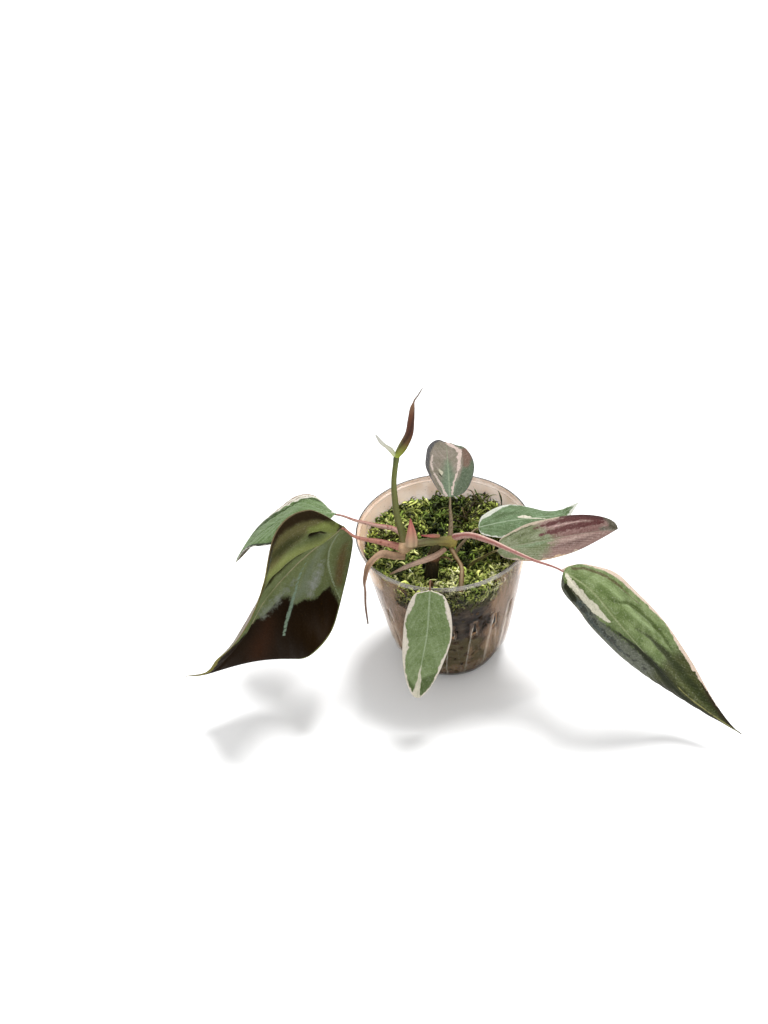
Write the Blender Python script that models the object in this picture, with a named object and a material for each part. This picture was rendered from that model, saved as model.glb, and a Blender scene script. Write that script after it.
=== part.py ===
"""A young velvet-leaved philodendron with a pale leaf margin, rooted in moss in a small clear pot.

Units are metres, +Z is up, and the origin is the centre of the pot's foot.
The front of the plant faces -Y.
"""
import bpy
import numpy as np

# Clear nursery pot, sized as an 80 mm one
RIM_RADIUS = 0.0400
POT_HEIGHT = 0.0760
RIM_BAND = 0.0026
WALL_TOP_RADIUS = 0.0388
SHOULDER_RADIUS = 0.0295
SHOULDER_HEIGHT = 0.0125
FOOT_RADIUS = 0.0235
POT_WALL = 0.0008
PLEATS = 20
FIRST_PLEAT_ANGLE = np.radians(-76.0)
PLEAT_APEX_HEIGHT = 0.0480
PLEAT_HALF_ANGLE = np.radians(5.6)
PLEAT_APEX_HALF_ANGLE = np.radians(1.1)
PLEAT_DEPTH = 0.0008
SLOT_BOTTOM_HEIGHT = 0.0385
SLOT_TOP_HEIGHT = 0.0470
DRAIN_HOLE_RINGS = (0.0110, 0.0160)

# Potting mix and the moss on it
GAP = 0.0003
WALL_GAP = 0.0004
HOLE_CLEARANCE = 0.0006
SOIL_TOP = 0.0550
MOSS_HEIGHT = 0.0635
MOSS_BANK = 0.0055
MOSS_BUMP = 0.0011

# Leaf blades and stalks
BLADE_THICKNESS = 0.0007
RIB_THICKNESS = 0.0012
TIP_HALF_WIDTH = 0.0005
STALK_GAP = 0.0009
CURVE_SAMPLES = 300


def unit(vectors):
    """Vectors divided by their own lengths."""
    return vectors / np.linalg.norm(vectors, axis=-1, keepdims=True)


def smooth_path(points, count):
    """Evenly spaced points along a cubic that runs through the given points."""
    points = np.array(points, float)
    spans = np.linalg.norm(np.diff(points, axis=0), axis=1)
    knots = np.concatenate([[0.0], np.cumsum(spans)])
    slopes = np.gradient(points, knots, axis=0)
    dense = np.linspace(0.0, knots[-1], CURVE_SAMPLES)
    piece = np.clip(np.searchsorted(knots, dense, side="right") - 1, 0, len(points) - 2)
    span = spans[piece][:, None]
    t = (dense - knots[piece])[:, None] / span
    curve = (1 + 2 * t) * (1 - t) ** 2 * points[piece] + t * (1 - t) ** 2 * span * slopes[piece]
    curve += t * t * (3 - 2 * t) * points[piece + 1] + t * t * (t - 1) * span * slopes[piece + 1]
    steps = np.linalg.norm(np.diff(curve, axis=0), axis=1)
    run = np.concatenate([[0.0], np.cumsum(steps)])
    wanted = np.linspace(0.0, run[-1], count)
    return np.stack([np.interp(wanted, run, curve[:, axis]) for axis in range(3)], -1)


def spread(values, u):
    """Values given at even steps from start to end, read at each u from 0 to 1."""
    return np.interp(u, np.linspace(0.0, 1.0, len(values)), values)


def material(name, colour, roughness, alpha=1.0):
    """A Principled material with one colour, roughness and opacity."""
    made = bpy.data.materials.new(name)
    made.use_nodes = True
    shader = made.node_tree.nodes["Principled BSDF"]
    shader.inputs["Base Color"].default_value = (*colour, 1.0)
    shader.inputs["Roughness"].default_value = roughness
    shader.inputs["Metallic"].default_value = 0.0
    shader.inputs["Alpha"].default_value = alpha
    return made


def add_mesh(name, vertices, faces, finish, crease=40.0):
    """One object made from points and faces, shaded smooth except across sharp edges."""
    mesh = bpy.data.meshes.new(name)
    mesh.from_pydata([tuple(vertex) for vertex in vertices], [], faces)
    mesh.update()
    made = bpy.data.objects.new(name, mesh)
    bpy.context.scene.collection.objects.link(made)
    mesh.shade_smooth()
    mesh.set_sharp_from_angle(angle=np.radians(crease))
    mesh.materials.append(finish)
    return made


def tube_mesh(points, widths, thicknesses, rings, sides, facing):
    """An oval section carried along a smooth path, with both ends closed by a low point.

    widths runs across the facing direction and thicknesses along it, each from start to end.
    """
    path = smooth_path(points, rings)
    tangent = unit(np.gradient(path, axis=0))
    side = unit(np.cross(tangent, facing))
    up = np.cross(side, tangent)
    u = np.linspace(0.0, 1.0, rings)
    half_width = spread(widths, u)[:, None, None] / 2
    half_thick = spread(thicknesses, u)[:, None, None] / 2
    turn = np.linspace(0.0, 2 * np.pi, sides, endpoint=False)[None, :, None]
    ring = path[:, None] + half_width * np.cos(turn) * side[:, None]
    ring = ring + half_thick * np.sin(turn) * up[:, None]
    start_cap = path[0] - tangent[0] * half_thick[0, 0, 0] * 0.5
    end_cap = path[-1] + tangent[-1] * half_thick[-1, 0, 0] * 0.5
    vertices = np.concatenate([ring.reshape(-1, 3), [start_cap, end_cap]])
    first, last = rings * sides, rings * sides + 1
    faces = []
    for row in range(rings - 1):
        for k in range(sides):
            a, b = row * sides + k, row * sides + (k + 1) % sides
            faces.append((a, a + sides, b + sides, b))
    for k in range(sides):
        after = (k + 1) % sides
        faces.append((first, k, after))
        faces.append((last, (rings - 1) * sides + after, (rings - 1) * sides + k))
    return vertices, faces


def add_tube(name, points, widths, finish, thicknesses=None, rings=12, sides=8, facing=(0, 0, 1)):
    """A tube_mesh as an object; it is round where no thicknesses are given."""
    vertices, faces = tube_mesh(points, widths, thicknesses or widths, rings, sides, facing)
    return add_mesh(name, vertices, faces, finish)


def remove(obj):
    """Take an object and its mesh out of the file."""
    mesh = obj.data
    bpy.data.objects.remove(obj)
    bpy.data.meshes.remove(mesh)


def apply_modifiers(obj):
    """Replace the object's mesh by its evaluated one."""
    bpy.context.view_layer.update()
    shown = bpy.context.evaluated_depsgraph_get()
    shaped = bpy.data.meshes.new_from_object(obj.evaluated_get(shown))
    obj.modifiers.clear()
    obj.data = shaped


def join_solids(obj, others):
    """Fuse closed solids into one by a Boolean union and remove the ones used up."""
    group = bpy.data.collections.new(obj.name + "_parts")
    for other in others:
        group.objects.link(other)
    union = obj.modifiers.new("union", "BOOLEAN")
    union.operation = "UNION"
    union.operand_type = "COLLECTION"
    union.collection = group
    union.solver = "EXACT"
    apply_modifiers(obj)
    for other in others:
        remove(other)
    bpy.data.collections.remove(group)


def cut_hole(obj, points, widths, finish, **shape):
    """Cut a plain hole along a stem's path, a little wider than the stem all round."""
    wider = [width + 2 * HOLE_CLEARANCE for width in widths]
    cutter = add_tube(obj.name + "_cutter", points, wider, finish, **shape)
    cut = obj.modifiers.new("hole", "BOOLEAN")
    cut.operation = "DIFFERENCE"
    cut.object = cutter
    cut.solver = "EXACT"
    apply_modifiers(obj)
    remove(cutter)


def pot_radius(z):
    """Outer radius of the pot's plain wall at a height: chamfer, then a straight taper."""
    heights = (0.0, SHOULDER_HEIGHT, POT_HEIGHT - RIM_BAND)
    return np.interp(z, heights, (FOOT_RADIUS, SHOULDER_RADIUS, WALL_TOP_RADIUS))


def make_pot(finish):
    """A thin skin of rings with inverted-V pleats, given its wall by Solidify.

    Each pleat is four columns: two creases that spread downward from its apex, a middle line
    between them that is pressed inward, and the middle of the plain land beside them. The cells
    just under the apex are left open as drainage slots. Above the apex the columns are even.
    """
    wall_heights = (SHOULDER_HEIGHT, SLOT_BOTTOM_HEIGHT, SLOT_TOP_HEIGHT, POT_HEIGHT - RIM_BAND)
    profile = [(radius, 0.0) for radius in (0.0050, *DRAIN_HOLE_RINGS, FOOT_RADIUS)]
    profile += [(pot_radius(z), z) for z in wall_heights]
    profile += [(RIM_RADIUS - 0.0001, POT_HEIGHT - RIM_BAND + 0.0008), (RIM_RADIUS, POT_HEIGHT)]
    pitch = 2 * np.pi / PLEATS
    columns = 4 * PLEATS
    vertices = []
    for radius, z in profile:
        drop = np.clip(1 - z / PLEAT_APEX_HEIGHT, 0.0, 1.0)
        half_angle = PLEAT_APEX_HALF_ANGLE + (PLEAT_HALF_ANGLE - PLEAT_APEX_HALF_ANGLE) * drop
        if z > PLEAT_APEX_HEIGHT:
            half_angle = pitch / 4
        press = PLEAT_DEPTH * drop * np.clip(z / SHOULDER_HEIGHT, 0.0, 1.0)
        for pleat in range(PLEATS):
            middle = FIRST_PLEAT_ANGLE + pleat * pitch
            for turn, inward in ((-half_angle, 0.0), (0.0, press), (half_angle, 0.0), (pitch / 2, 0.0)):
                reach = radius - inward
                vertices.append((reach * np.cos(middle + turn), reach * np.sin(middle + turn), z))
    faces = [tuple(range(columns))[::-1]]
    heights = [z for radius, z in profile]
    for row in range(len(profile) - 1):
        slot_row = heights[row] == SLOT_BOTTOM_HEIGHT
        drain_row = profile[row][0] == DRAIN_HOLE_RINGS[0]
        for k in range(columns):
            in_pleat = k % 4 < 2
            in_drain = k % 16 in (6, 7, 8)
            if (slot_row and in_pleat) or (drain_row and in_drain):
                continue
            a, b = row * columns + k, row * columns + (k + 1) % columns
            faces.append((a, b, b + columns, a + columns))
    pot = add_mesh("pot", vertices, faces, finish, crease=20.0)
    wall = pot.modifiers.new("wall", "SOLIDIFY")
    wall.thickness = POT_WALL
    wall.offset = -1.0
    wall.use_even_offset = True
    return pot


def plug_mesh(rings, segments=36):
    """A closed round plug from rings of points, lowest first, closed by a middle point at both ends."""
    count = len(rings)
    middles = [np.mean(rings[0], axis=0), np.mean(rings[-1], axis=0)]
    vertices = np.concatenate([np.concatenate(rings), middles])
    bottom, top = count * segments, count * segments + 1
    faces = []
    for k in range(segments):
        after = (k + 1) % segments
        faces.append((bottom, after, k))
        faces.append((top, (count - 1) * segments + k, (count - 1) * segments + after))
        for row in range(count - 1):
            a, b = row * segments + k, row * segments + after
            faces.append((a, b, b + segments, a + segments))
    return vertices, faces


def ring_points(radius, z, segments=36):
    """A level ring; z may be one height or one for each point."""
    turn = np.linspace(0.0, 2 * np.pi, segments, endpoint=False)
    height = np.broadcast_to(z, turn.shape)
    return np.stack([radius * np.cos(turn), radius * np.sin(turn), height], -1)


def moss_top(x, y):
    """Height of the moss: a bank that climbs the wall at the front, with soft tufts."""
    radius = np.hypot(x, y)
    forward = -y / np.maximum(radius, 0.001)
    bank = np.clip((radius - 0.022) / 0.013, 0.0, 1.0) ** 1.5 * (0.65 + 0.35 * forward)
    tufts = np.sin(610 * x + 1.3) * np.sin(560 * y + 0.4) + 0.7 * np.sin(980 * x + 730 * y)
    return MOSS_HEIGHT + MOSS_BANK * bank + MOSS_BUMP * tufts


def make_soil(finish):
    """The root ball of potting mix, clear of the pot by one gap at the pleats."""
    clear = POT_WALL + PLEAT_DEPTH + GAP
    floor = POT_WALL + GAP
    heights = (floor, SHOULDER_HEIGHT, 0.024, 0.040, SOIL_TOP)
    rings = [ring_points(pot_radius(z) - clear, z) for z in heights]
    vertices, faces = plug_mesh(rings)
    return add_mesh("soil", vertices, faces, finish)


def make_moss(finish):
    """The live moss layer: flat below, tufted above, and up to the wall all round."""
    clear = POT_WALL + WALL_GAP
    base = SOIL_TOP + GAP
    rings = [ring_points(radius, base) for radius in (0.012, 0.024, pot_radius(base) - clear)]
    rings.append(ring_points(pot_radius(MOSS_HEIGHT) - clear, MOSS_HEIGHT))
    for radius in (0.0352, 0.0325, 0.0295, 0.026, 0.022, 0.018, 0.014, 0.010, 0.006, 0.0025):
        ring = ring_points(radius, 0.0)
        ring[:, 2] = moss_top(ring[:, 0], ring[:, 1])
        rings.append(ring)
    vertices, faces = plug_mesh(rings)
    return add_mesh("moss", vertices, faces, finish, crease=60.0)


def blade_surface(leaf):
    """Points of a leaf blade's middle surface, as rows from stalk to tip and columns across.

    The rib is a smooth path. Each side has its own half width, which swells from the shoulder to
    the widest place and then falls as a power of a cosine to the tip. Seen along the rib, each
    side leaves it at its fold angle and then bends as an arc by its curl, and the margin ripples.
    The lobes by the stalk are carried backward along the rib.
    """
    rows, columns = leaf["grid"]
    rib = smooth_path(leaf["rib"], rows)
    u = np.linspace(0.0, 1.0, rows)[:, None]
    v = np.linspace(-1.0, 1.0, columns)
    right = (v > 0).astype(int)
    across = np.abs(v)
    tangent = unit(np.gradient(rib, axis=0))
    level = unit(np.cross(tangent, leaf.get("facing", (0.0, 0.0, 1.0))))
    upright = np.cross(level, tangent)
    roll = np.radians(spread(leaf["roll"], u))
    up = np.cos(roll) * upright + np.sin(roll) * level
    side = np.cross(tangent, up)
    half = np.array(leaf["half_width"])[right]
    widest = np.array(leaf["widest"])[right]
    shoulder = np.array(leaf["shoulder"])[right]
    taper = np.array(leaf["taper"])[right]
    swell = shoulder + (1 - shoulder) * np.sqrt(np.clip(1 - (1 - u / widest) ** 2, 0.0, 1.0))
    fall = np.cos(0.5 * np.pi * np.clip((u - widest) / (1 - widest), 0.0, 1.0)) ** taper
    reach = np.maximum(np.where(u < widest, swell, fall) * half, TIP_HALF_WIDTH) * across
    part = reach / half
    fold = np.radians(np.where(right, spread(leaf["fold"][1], u), spread(leaf["fold"][0], u)))
    curl = np.radians(np.where(right, spread(leaf["curl"][1], u), spread(leaf["curl"][0], u)))
    curl = np.where(np.abs(curl) < 0.001, 0.001, curl)
    out = half * (np.sin(fold + curl * part) - np.sin(fold)) / curl
    lift = half * (np.cos(fold) - np.cos(fold + curl * part)) / curl
    ripple = np.sin(2 * np.pi * (leaf["ripples"] * u + 0.25 * np.sign(v)))
    ripple = ripple * np.sqrt(np.clip(np.sin(np.pi * u), 0.0, 1.0))
    lift = lift + leaf["ripple_height"] * part ** 2 * ripple
    lobe = np.array(leaf["lobes"])[right]
    back = -lobe * np.sin(0.5 * np.pi * across) ** 2 * np.clip(1 - u / (1.6 * widest), 0.0, 1.0) ** 2
    surface = rib[:, None] + back[..., None] * tangent[:, None]
    surface = surface + (np.sign(v) * out)[..., None] * side[:, None] + lift[..., None] * up[:, None]
    return surface


def make_blade(name, leaf, finish):
    """A blade with its thickness, split into triangles alike on both faces."""
    surface = blade_surface(leaf)
    rows, columns = surface.shape[:2]
    normal = unit(np.cross(np.gradient(surface, axis=1), np.gradient(surface, axis=0)))
    across = np.abs(np.linspace(-1.0, 1.0, columns))
    depth = BLADE_THICKNESS + (RIB_THICKNESS - BLADE_THICKNESS) * np.clip(1 - across / 0.2, 0.0, 1.0)
    upper = surface + normal * BLADE_THICKNESS / 2
    lower = surface - normal * (depth[None, :, None] - BLADE_THICKNESS / 2)
    vertices = np.concatenate([upper.reshape(-1, 3), lower.reshape(-1, 3)])
    under = rows * columns
    faces = []
    for i in range(rows - 1):
        for j in range(columns - 1):
            a = i * columns + j
            b, c, d = a + 1, a + columns + 1, a + columns
            faces += [(a, b, c), (a, c, d)]
            faces += [(a + under, c + under, b + under), (a + under, d + under, c + under)]
    rim = [j for j in range(columns)]
    rim += [i * columns + columns - 1 for i in range(1, rows)]
    rim += [(rows - 1) * columns + j for j in range(columns - 2, -1, -1)]
    rim += [i * columns for i in range(rows - 2, 0, -1)]
    for a, b in zip(rim, rim[1:] + rim[:1]):
        faces += [(b, a, a + under), (b, a + under, b + under)]
    return add_mesh(name, vertices, faces, finish, crease=60.0)


# Each leaf by its place round the pot, left of the rib first and then right of it
LEAVES = {
    "left_back": {
        "rib": ((-0.0500, 0.0053, 0.0884), (-0.0618, 0.0059, 0.0905), (-0.0774, 0.0085, 0.0820),
                (-0.0992, 0.0120, 0.0600)),
        "roll": (28, 18, 16),
        "half_width": (0.0160, 0.0195),
        "lobes": (0.003, 0.002),
        "fold": ((-7, -3, 21), (-5, 8, 25)),
        "curl": ((-20, -30, 2), (22, 3, 0)),
        "widest": (0.33, 0.27),
        "shoulder": (0.35, 0.26),
        "taper": (1.50, 0.90),
        "ripple_height": 0.0005,
        "ripples": 2.5,
        "grid": (13, 9),
    },
    "left_front": {
        "rib": ((-0.0463, -0.0079, 0.0884), (-0.0652, -0.0125, 0.0773), (-0.0818, -0.0210, 0.0661),
                (-0.0980, -0.0258, 0.0443), (-0.1185, -0.0291, 0.0298), (-0.1256, -0.0302, 0.0310)),
        "roll": (-75, -74, -101),
        "half_width": (0.0338, 0.0313),
        "lobes": (0.0027, 0.0025),
        "fold": ((-45, 6, -39), (21, 55, 24)),
        "curl": ((2, 72, 14), (-18, 41, 14)),
        "widest": (0.42, 0.27),
        "shoulder": (0.16, 0.31),
        "taper": (1.81, 1.23),
        "ripple_height": 0.0005,
        "ripples": 3.0,
        "grid": (19, 11),
    },
    "upright": {
        "rib": ((0.0029, -0.0111, 0.1015), (0.0030, -0.0100, 0.1175), (0.0028, -0.0105, 0.1305)),
        "facing": (0.0, -1.0, 0.4),
        "roll": (-12, -10, -12),
        "half_width": (0.0110, 0.0110),
        "lobes": (0.0, 0.0),
        "fold": ((-25, -10, -20), (-13, -3, -9)),
        "curl": ((-38, -24, -32), (-25, -16, -18)),
        "widest": (0.52, 0.48),
        "shoulder": (0.30, 0.30),
        "taper": (0.45, 0.58),
        "ripple_height": 0.0004,
        "ripples": 1.5,
        "grid": (13, 9),
    },
    "right_back": {
        "rib": ((0.0156, -0.0041, 0.0767), (0.0278, -0.0056, 0.0795), (0.0431, -0.0057, 0.0797),
                (0.0532, -0.0031, 0.0777), (0.0618, -0.0009, 0.0815)),
        "roll": (-6, -3, -13),
        "half_width": (0.0130, 0.0110),
        "lobes": (0.0, 0.0),
        "fold": ((0, -5, -14), (5, -4, -1)),
        "curl": ((0, -2, -25), (-10, -18, -11)),
        "widest": (0.29, 0.34),
        "shoulder": (0.29, 0.25),
        "taper": (1.03, 0.92),
        "ripple_height": 0.0004,
        "ripples": 2.0,
        "grid": (15, 9),
    },
    "right_middle": {
        "rib": ((0.0211, -0.0248, 0.0809), (0.0388, -0.0247, 0.0824), (0.0587, -0.0228, 0.0820),
                (0.0721, -0.0250, 0.0845)),
        "roll": (0, 14, 21),
        "half_width": (0.0122, 0.0095),
        "lobes": (0.0, 0.001),
        "fold": ((-4, -1, 3), (3, -1, -1)),
        "curl": ((-12, -12, -8), (-9, -12, -10)),
        "widest": (0.37, 0.33),
        "shoulder": (0.22, 0.23),
        "taper": (0.45, 0.85),
        "ripple_height": 0.0004,
        "ripples": 2.0,
        "grid": (13, 9),
    },
    "right_front": {
        "rib": ((0.0459, -0.0388, 0.0767), (0.0540, -0.0500, 0.0755), (0.0625, -0.0585, 0.0655),
                (0.0756, -0.0656, 0.0476), (0.0945, -0.0715, 0.0225), (0.1135, -0.0835, 0.0110)),
        "roll": (12, 38, 66),
        "half_width": (0.0215, 0.0143),
        "lobes": (0.0014, 0.0),
        "fold": ((-20, -11, 2), (-30, -50, -70)),
        "curl": ((-34, -20, -20), (-40, -48, -70)),
        "widest": (0.38, 0.40),
        "shoulder": (0.34, 0.19),
        "taper": (1.36, 1.05),
        "ripple_height": 0.0005,
        "ripples": 3.0,
        "grid": (19, 9),
    },
    "front": {
        "rib": ((-0.0109, -0.0424, 0.0785), (-0.0142, -0.0490, 0.0595), (-0.0178, -0.0492, 0.0415),
                (-0.0214, -0.0510, 0.0213)),
        "facing": (0.0, -1.0, 0.4),
        "roll": (2, 3, 2),
        "half_width": (0.0109, 0.0103),
        "lobes": (0.0, 0.0),
        "fold": ((1, -4, -2), (0, -8, -5)),
        "curl": ((-7, -15, -14), (-10, -21, -19)),
        "widest": (0.41, 0.34),
        "shoulder": (0.24, 0.33),
        "taper": (0.59, 0.56),
        "ripple_height": 0.0004,
        "ripples": 2.0,
        "grid": (13, 9),
    },
}

# Each stalk from where it leaves the stem or the moss, with its diameters from there to the blade
STALKS = {
    "left_back": (((-0.0186, -0.0118, 0.0834), (-0.0210, -0.0085, 0.0845), (-0.0305, -0.0044, 0.0858),
                   (-0.0390, -0.0006, 0.0868), (-0.0452, 0.0035, 0.0873)), (0.0026, 0.0022, 0.0016)),
    "left_front": (((-0.0222, -0.0160, 0.0822), (-0.0290, -0.0138, 0.0838), (-0.0396, -0.0111, 0.0862)),
                   (0.0032, 0.0028, 0.0014)),
    "upright": (((0.0018, -0.0146, 0.0845), (0.0026, -0.0126, 0.0900), (0.0026, -0.0117, 0.0960)),
                (0.0023, 0.0019, 0.0014)),
    "right_back": (((0.0030, -0.0100, 0.0600), (0.0040, -0.0098, 0.0680), (0.0093, -0.0078, 0.0738)),
                   (0.0020, 0.0018, 0.0014)),
    "right_middle": (((0.0070, -0.0150, 0.0580), (0.0094, -0.0163, 0.0650), (0.0156, -0.0206, 0.0738)),
                     (0.0020, 0.0018, 0.0014)),
    "right_front": (((0.0043, -0.0168, 0.0838), (0.0080, -0.0178, 0.0850), (0.0173, -0.0244, 0.0858),
                     (0.0247, -0.0311, 0.0854), (0.0320, -0.0362, 0.0838)), (0.0028, 0.0026, 0.0018)),
    "front": (((-0.0088, -0.0262, 0.0600), (-0.0092, -0.0285, 0.0700), (-0.0103, -0.0370, 0.0775)),
              (0.0018, 0.0016, 0.0009)),
}
STALK_SHAPE = {"rings": 11, "sides": 7, "facing": (0.3, 0.9, 0.4)}
ROOTED_STALKS = ("right_back", "right_middle", "front")

# The stem: old rooted length with its ring, level internode between two nodes, new shoot
OLD_STEM_PATH = ((-0.0085, -0.0212, 0.0500), (-0.0088, -0.0206, 0.0620), (-0.0065, -0.0183, 0.0755),
                 (-0.0048, -0.0172, 0.0815))
OLD_STEM_WIDTHS = (0.0050, 0.0052, 0.0044, 0.0036)
OLD_STEM_SHAPE = {"rings": 8, "sides": 10, "facing": (0.0, 1.0, 0.0)}
STEM_RING_PATH = ((-0.0069, -0.0186, 0.0740), (-0.0062, -0.0180, 0.0764))
STEM_RING_WIDTHS = (0.0052, 0.0048)
INTERNODE_PATH = ((0.0022, -0.0166, 0.0815), (-0.0020, -0.0170, 0.0824), (-0.0080, -0.0172, 0.0832),
                  (-0.0140, -0.0172, 0.0830), (-0.0196, -0.0172, 0.0815))
INTERNODE_WIDTHS = (0.0050, 0.0040, 0.0034, 0.0033, 0.0054)
SHOOT_PATH = ((-0.0184, -0.0160, 0.0815), (-0.0191, -0.0142, 0.0874), (-0.0202, -0.0135, 0.0945),
              (-0.0205, -0.0130, 0.1050), (-0.0200, -0.0130, 0.1156), (-0.0187, -0.0130, 0.1231),
              (-0.0178, -0.0130, 0.1272))
SHOOT_WIDTHS = (0.0036, 0.0031, 0.0028, 0.0024, 0.0030)

# What grows on the stem: the next leaf still rolled up, its sheath, older sheaths, a bud and roots
FURLED_PATH = ((-0.0175, -0.0130, 0.1289), (-0.0144, -0.0135, 0.1333), (-0.0120, -0.0140, 0.1385),
               (-0.0108, -0.0140, 0.1445), (-0.0095, -0.0145, 0.1515), (-0.0088, -0.0145, 0.1535),
               (-0.0073, -0.0145, 0.1555), (-0.0054, -0.0150, 0.1588))
FURLED_WIDTHS = (0.0022, 0.0036, 0.0031, 0.0027, 0.0021, 0.0008, 0.0007)
FURL_SHEATH_PATH = ((-0.0189, -0.0133, 0.1286), (-0.0206, -0.0140, 0.1326), (-0.0228, -0.0150, 0.1356),
                    (-0.0251, -0.0160, 0.1409))
FURL_SHEATH_WIDTHS = (0.0012, 0.0027, 0.0017, 0.0008)
FURL_SHEATH_THICKNESSES = (0.0008, 0.0009, 0.0008, 0.0007)
NODE_SHEATH_PATH = ((-0.0158, -0.0192, 0.0846), (-0.0152, -0.0175, 0.0890), (-0.0149, -0.0145, 0.0950))
NODE_SHEATH_WIDTHS = (0.0060, 0.0036, 0.0010)
NODE_SHEATH_THICKNESSES = (0.0010, 0.0010, 0.0008)
POINTED_SHEATH_PATH = ((-0.0024, -0.0203, 0.0798), (-0.0056, -0.0219, 0.0792), (-0.0110, -0.0226, 0.0778),
                       (-0.0172, -0.0215, 0.0750), (-0.0265, -0.0208, 0.0705))
POINTED_SHEATH_WIDTHS = (0.0030, 0.0036, 0.0030, 0.0024, 0.0009)
POINTED_SHEATH_THICKNESSES = (0.0012, 0.0014, 0.0012, 0.0010, 0.0008)
WITHERED_SHEATH_PATH = ((-0.0198, -0.0190, 0.0776), (-0.0235, -0.0184, 0.0788), (-0.0290, -0.0190, 0.0812),
                        (-0.0350, -0.0235, 0.0800), (-0.0375, -0.0240, 0.0730), (-0.0385, -0.0190, 0.0600),
                        (-0.0396, -0.0140, 0.0460), (-0.0400, -0.0100, 0.0300))
WITHERED_SHEATH_WIDTHS = (0.0034, 0.0036, 0.0030, 0.0020, 0.0018, 0.0016, 0.0014, 0.0008)
WITHERED_SHEATH_THICKNESSES = (0.0010, 0.0010, 0.0009, 0.0008)
SIDE_BUD_PATH = ((-0.0035, -0.0165, 0.0857), (-0.0075, -0.0165, 0.0860), (-0.0110, -0.0165, 0.0868))
SIDE_BUD_WIDTHS = (0.0016, 0.0016, 0.0007)
LONG_ROOT_PATH = ((0.0014, -0.0190, 0.0783), (0.0026, -0.0226, 0.0777), (0.0043, -0.0274, 0.0760),
                  (0.0035, -0.0330, 0.0738), (0.0026, -0.0351, 0.0705), (0.0020, -0.0347, 0.0650),
                  (0.0014, -0.0336, 0.0590))
LONG_ROOT_WIDTHS = (0.0020, 0.0018, 0.0021, 0.0019, 0.0014)
LONG_ROOT_SHAPE = {"rings": 16, "sides": 7, "facing": (1.0, 0.0, 0.0)}
SHORT_ROOT_PATH = ((-0.0038, -0.0196, 0.0752), (-0.0010, -0.0205, 0.0757), (0.0012, -0.0225, 0.0750))
SHORT_ROOT_WIDTHS = (0.0009, 0.0008, 0.0010)


def make_vine(finish):
    """The stem that grew as one piece: the old rooted stem, the level internode and the new shoot."""
    upright = {"sides": 10, "facing": (0.0, 1.0, 0.0)}
    vine = add_tube("vine", INTERNODE_PATH, INTERNODE_WIDTHS, finish, rings=12, sides=10)
    old = add_tube("old_stem", OLD_STEM_PATH, OLD_STEM_WIDTHS, finish, **OLD_STEM_SHAPE)
    ring = add_tube("stem_ring", STEM_RING_PATH, STEM_RING_WIDTHS, finish, rings=3, **upright)
    shoot = add_tube("shoot", SHOOT_PATH, SHOOT_WIDTHS, finish, rings=16, **upright)
    join_solids(vine, [old, ring, shoot])
    return vine


for leftover in list(bpy.data.objects):
    bpy.data.objects.remove(leftover)

clear_plastic = material("clear_plastic", (0.72, 0.68, 0.62), 0.15, alpha=0.35)
potting_mix = material("potting_mix", (0.09, 0.06, 0.045), 0.9)
live_moss = material("live_moss", (0.16, 0.24, 0.04), 0.85)
stem_green = material("stem_green", (0.20, 0.20, 0.06), 0.5)
stalk_pink = material("stalk_pink", (0.60, 0.27, 0.24), 0.45)
stalk_brown = material("stalk_brown", (0.32, 0.24, 0.14), 0.55)
sheath_pink = material("sheath_pink", (0.62, 0.33, 0.25), 0.55)
sheath_dry = material("sheath_dry", (0.58, 0.42, 0.30), 0.7)
sheath_white = material("sheath_white", (0.82, 0.82, 0.74), 0.4)
root_brown = material("root_brown", (0.36, 0.25, 0.15), 0.7)
furled_maroon = material("furled_maroon", (0.22, 0.10, 0.04), 0.45)
leaf_dark = material("leaf_dark", (0.10, 0.12, 0.05), 0.55)
leaf_green = material("leaf_green", (0.20, 0.30, 0.14), 0.55)
leaf_mauve = material("leaf_mauve", (0.34, 0.26, 0.22), 0.55)

make_pot(clear_plastic)
soil = make_soil(potting_mix)
moss = make_moss(live_moss)
vine = make_vine(stem_green)

add_tube("furled_leaf", FURLED_PATH, FURLED_WIDTHS, furled_maroon, rings=20, facing=(0.0, 1.0, 0.0))
add_tube("furl_sheath", FURL_SHEATH_PATH, FURL_SHEATH_WIDTHS, sheath_white,
         thicknesses=FURL_SHEATH_THICKNESSES, rings=9, sides=6)
add_tube("node_sheath", NODE_SHEATH_PATH, NODE_SHEATH_WIDTHS, sheath_pink,
         thicknesses=NODE_SHEATH_THICKNESSES, rings=7, facing=(0.0, -1.0, 0.0))
add_tube("pointed_sheath", POINTED_SHEATH_PATH, POINTED_SHEATH_WIDTHS, sheath_dry,
         thicknesses=POINTED_SHEATH_THICKNESSES)
add_tube("withered_sheath", WITHERED_SHEATH_PATH, WITHERED_SHEATH_WIDTHS, sheath_dry,
         thicknesses=WITHERED_SHEATH_THICKNESSES, rings=22, sides=6, facing=(-0.6, -0.5, 0.6))
add_tube("long_root", LONG_ROOT_PATH, LONG_ROOT_WIDTHS, root_brown, **LONG_ROOT_SHAPE)
add_tube("short_root", SHORT_ROOT_PATH, SHORT_ROOT_WIDTHS, root_brown, rings=5, sides=6)
add_tube("side_bud", SIDE_BUD_PATH, SIDE_BUD_WIDTHS, stalk_pink, rings=6, sides=6)

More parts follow.
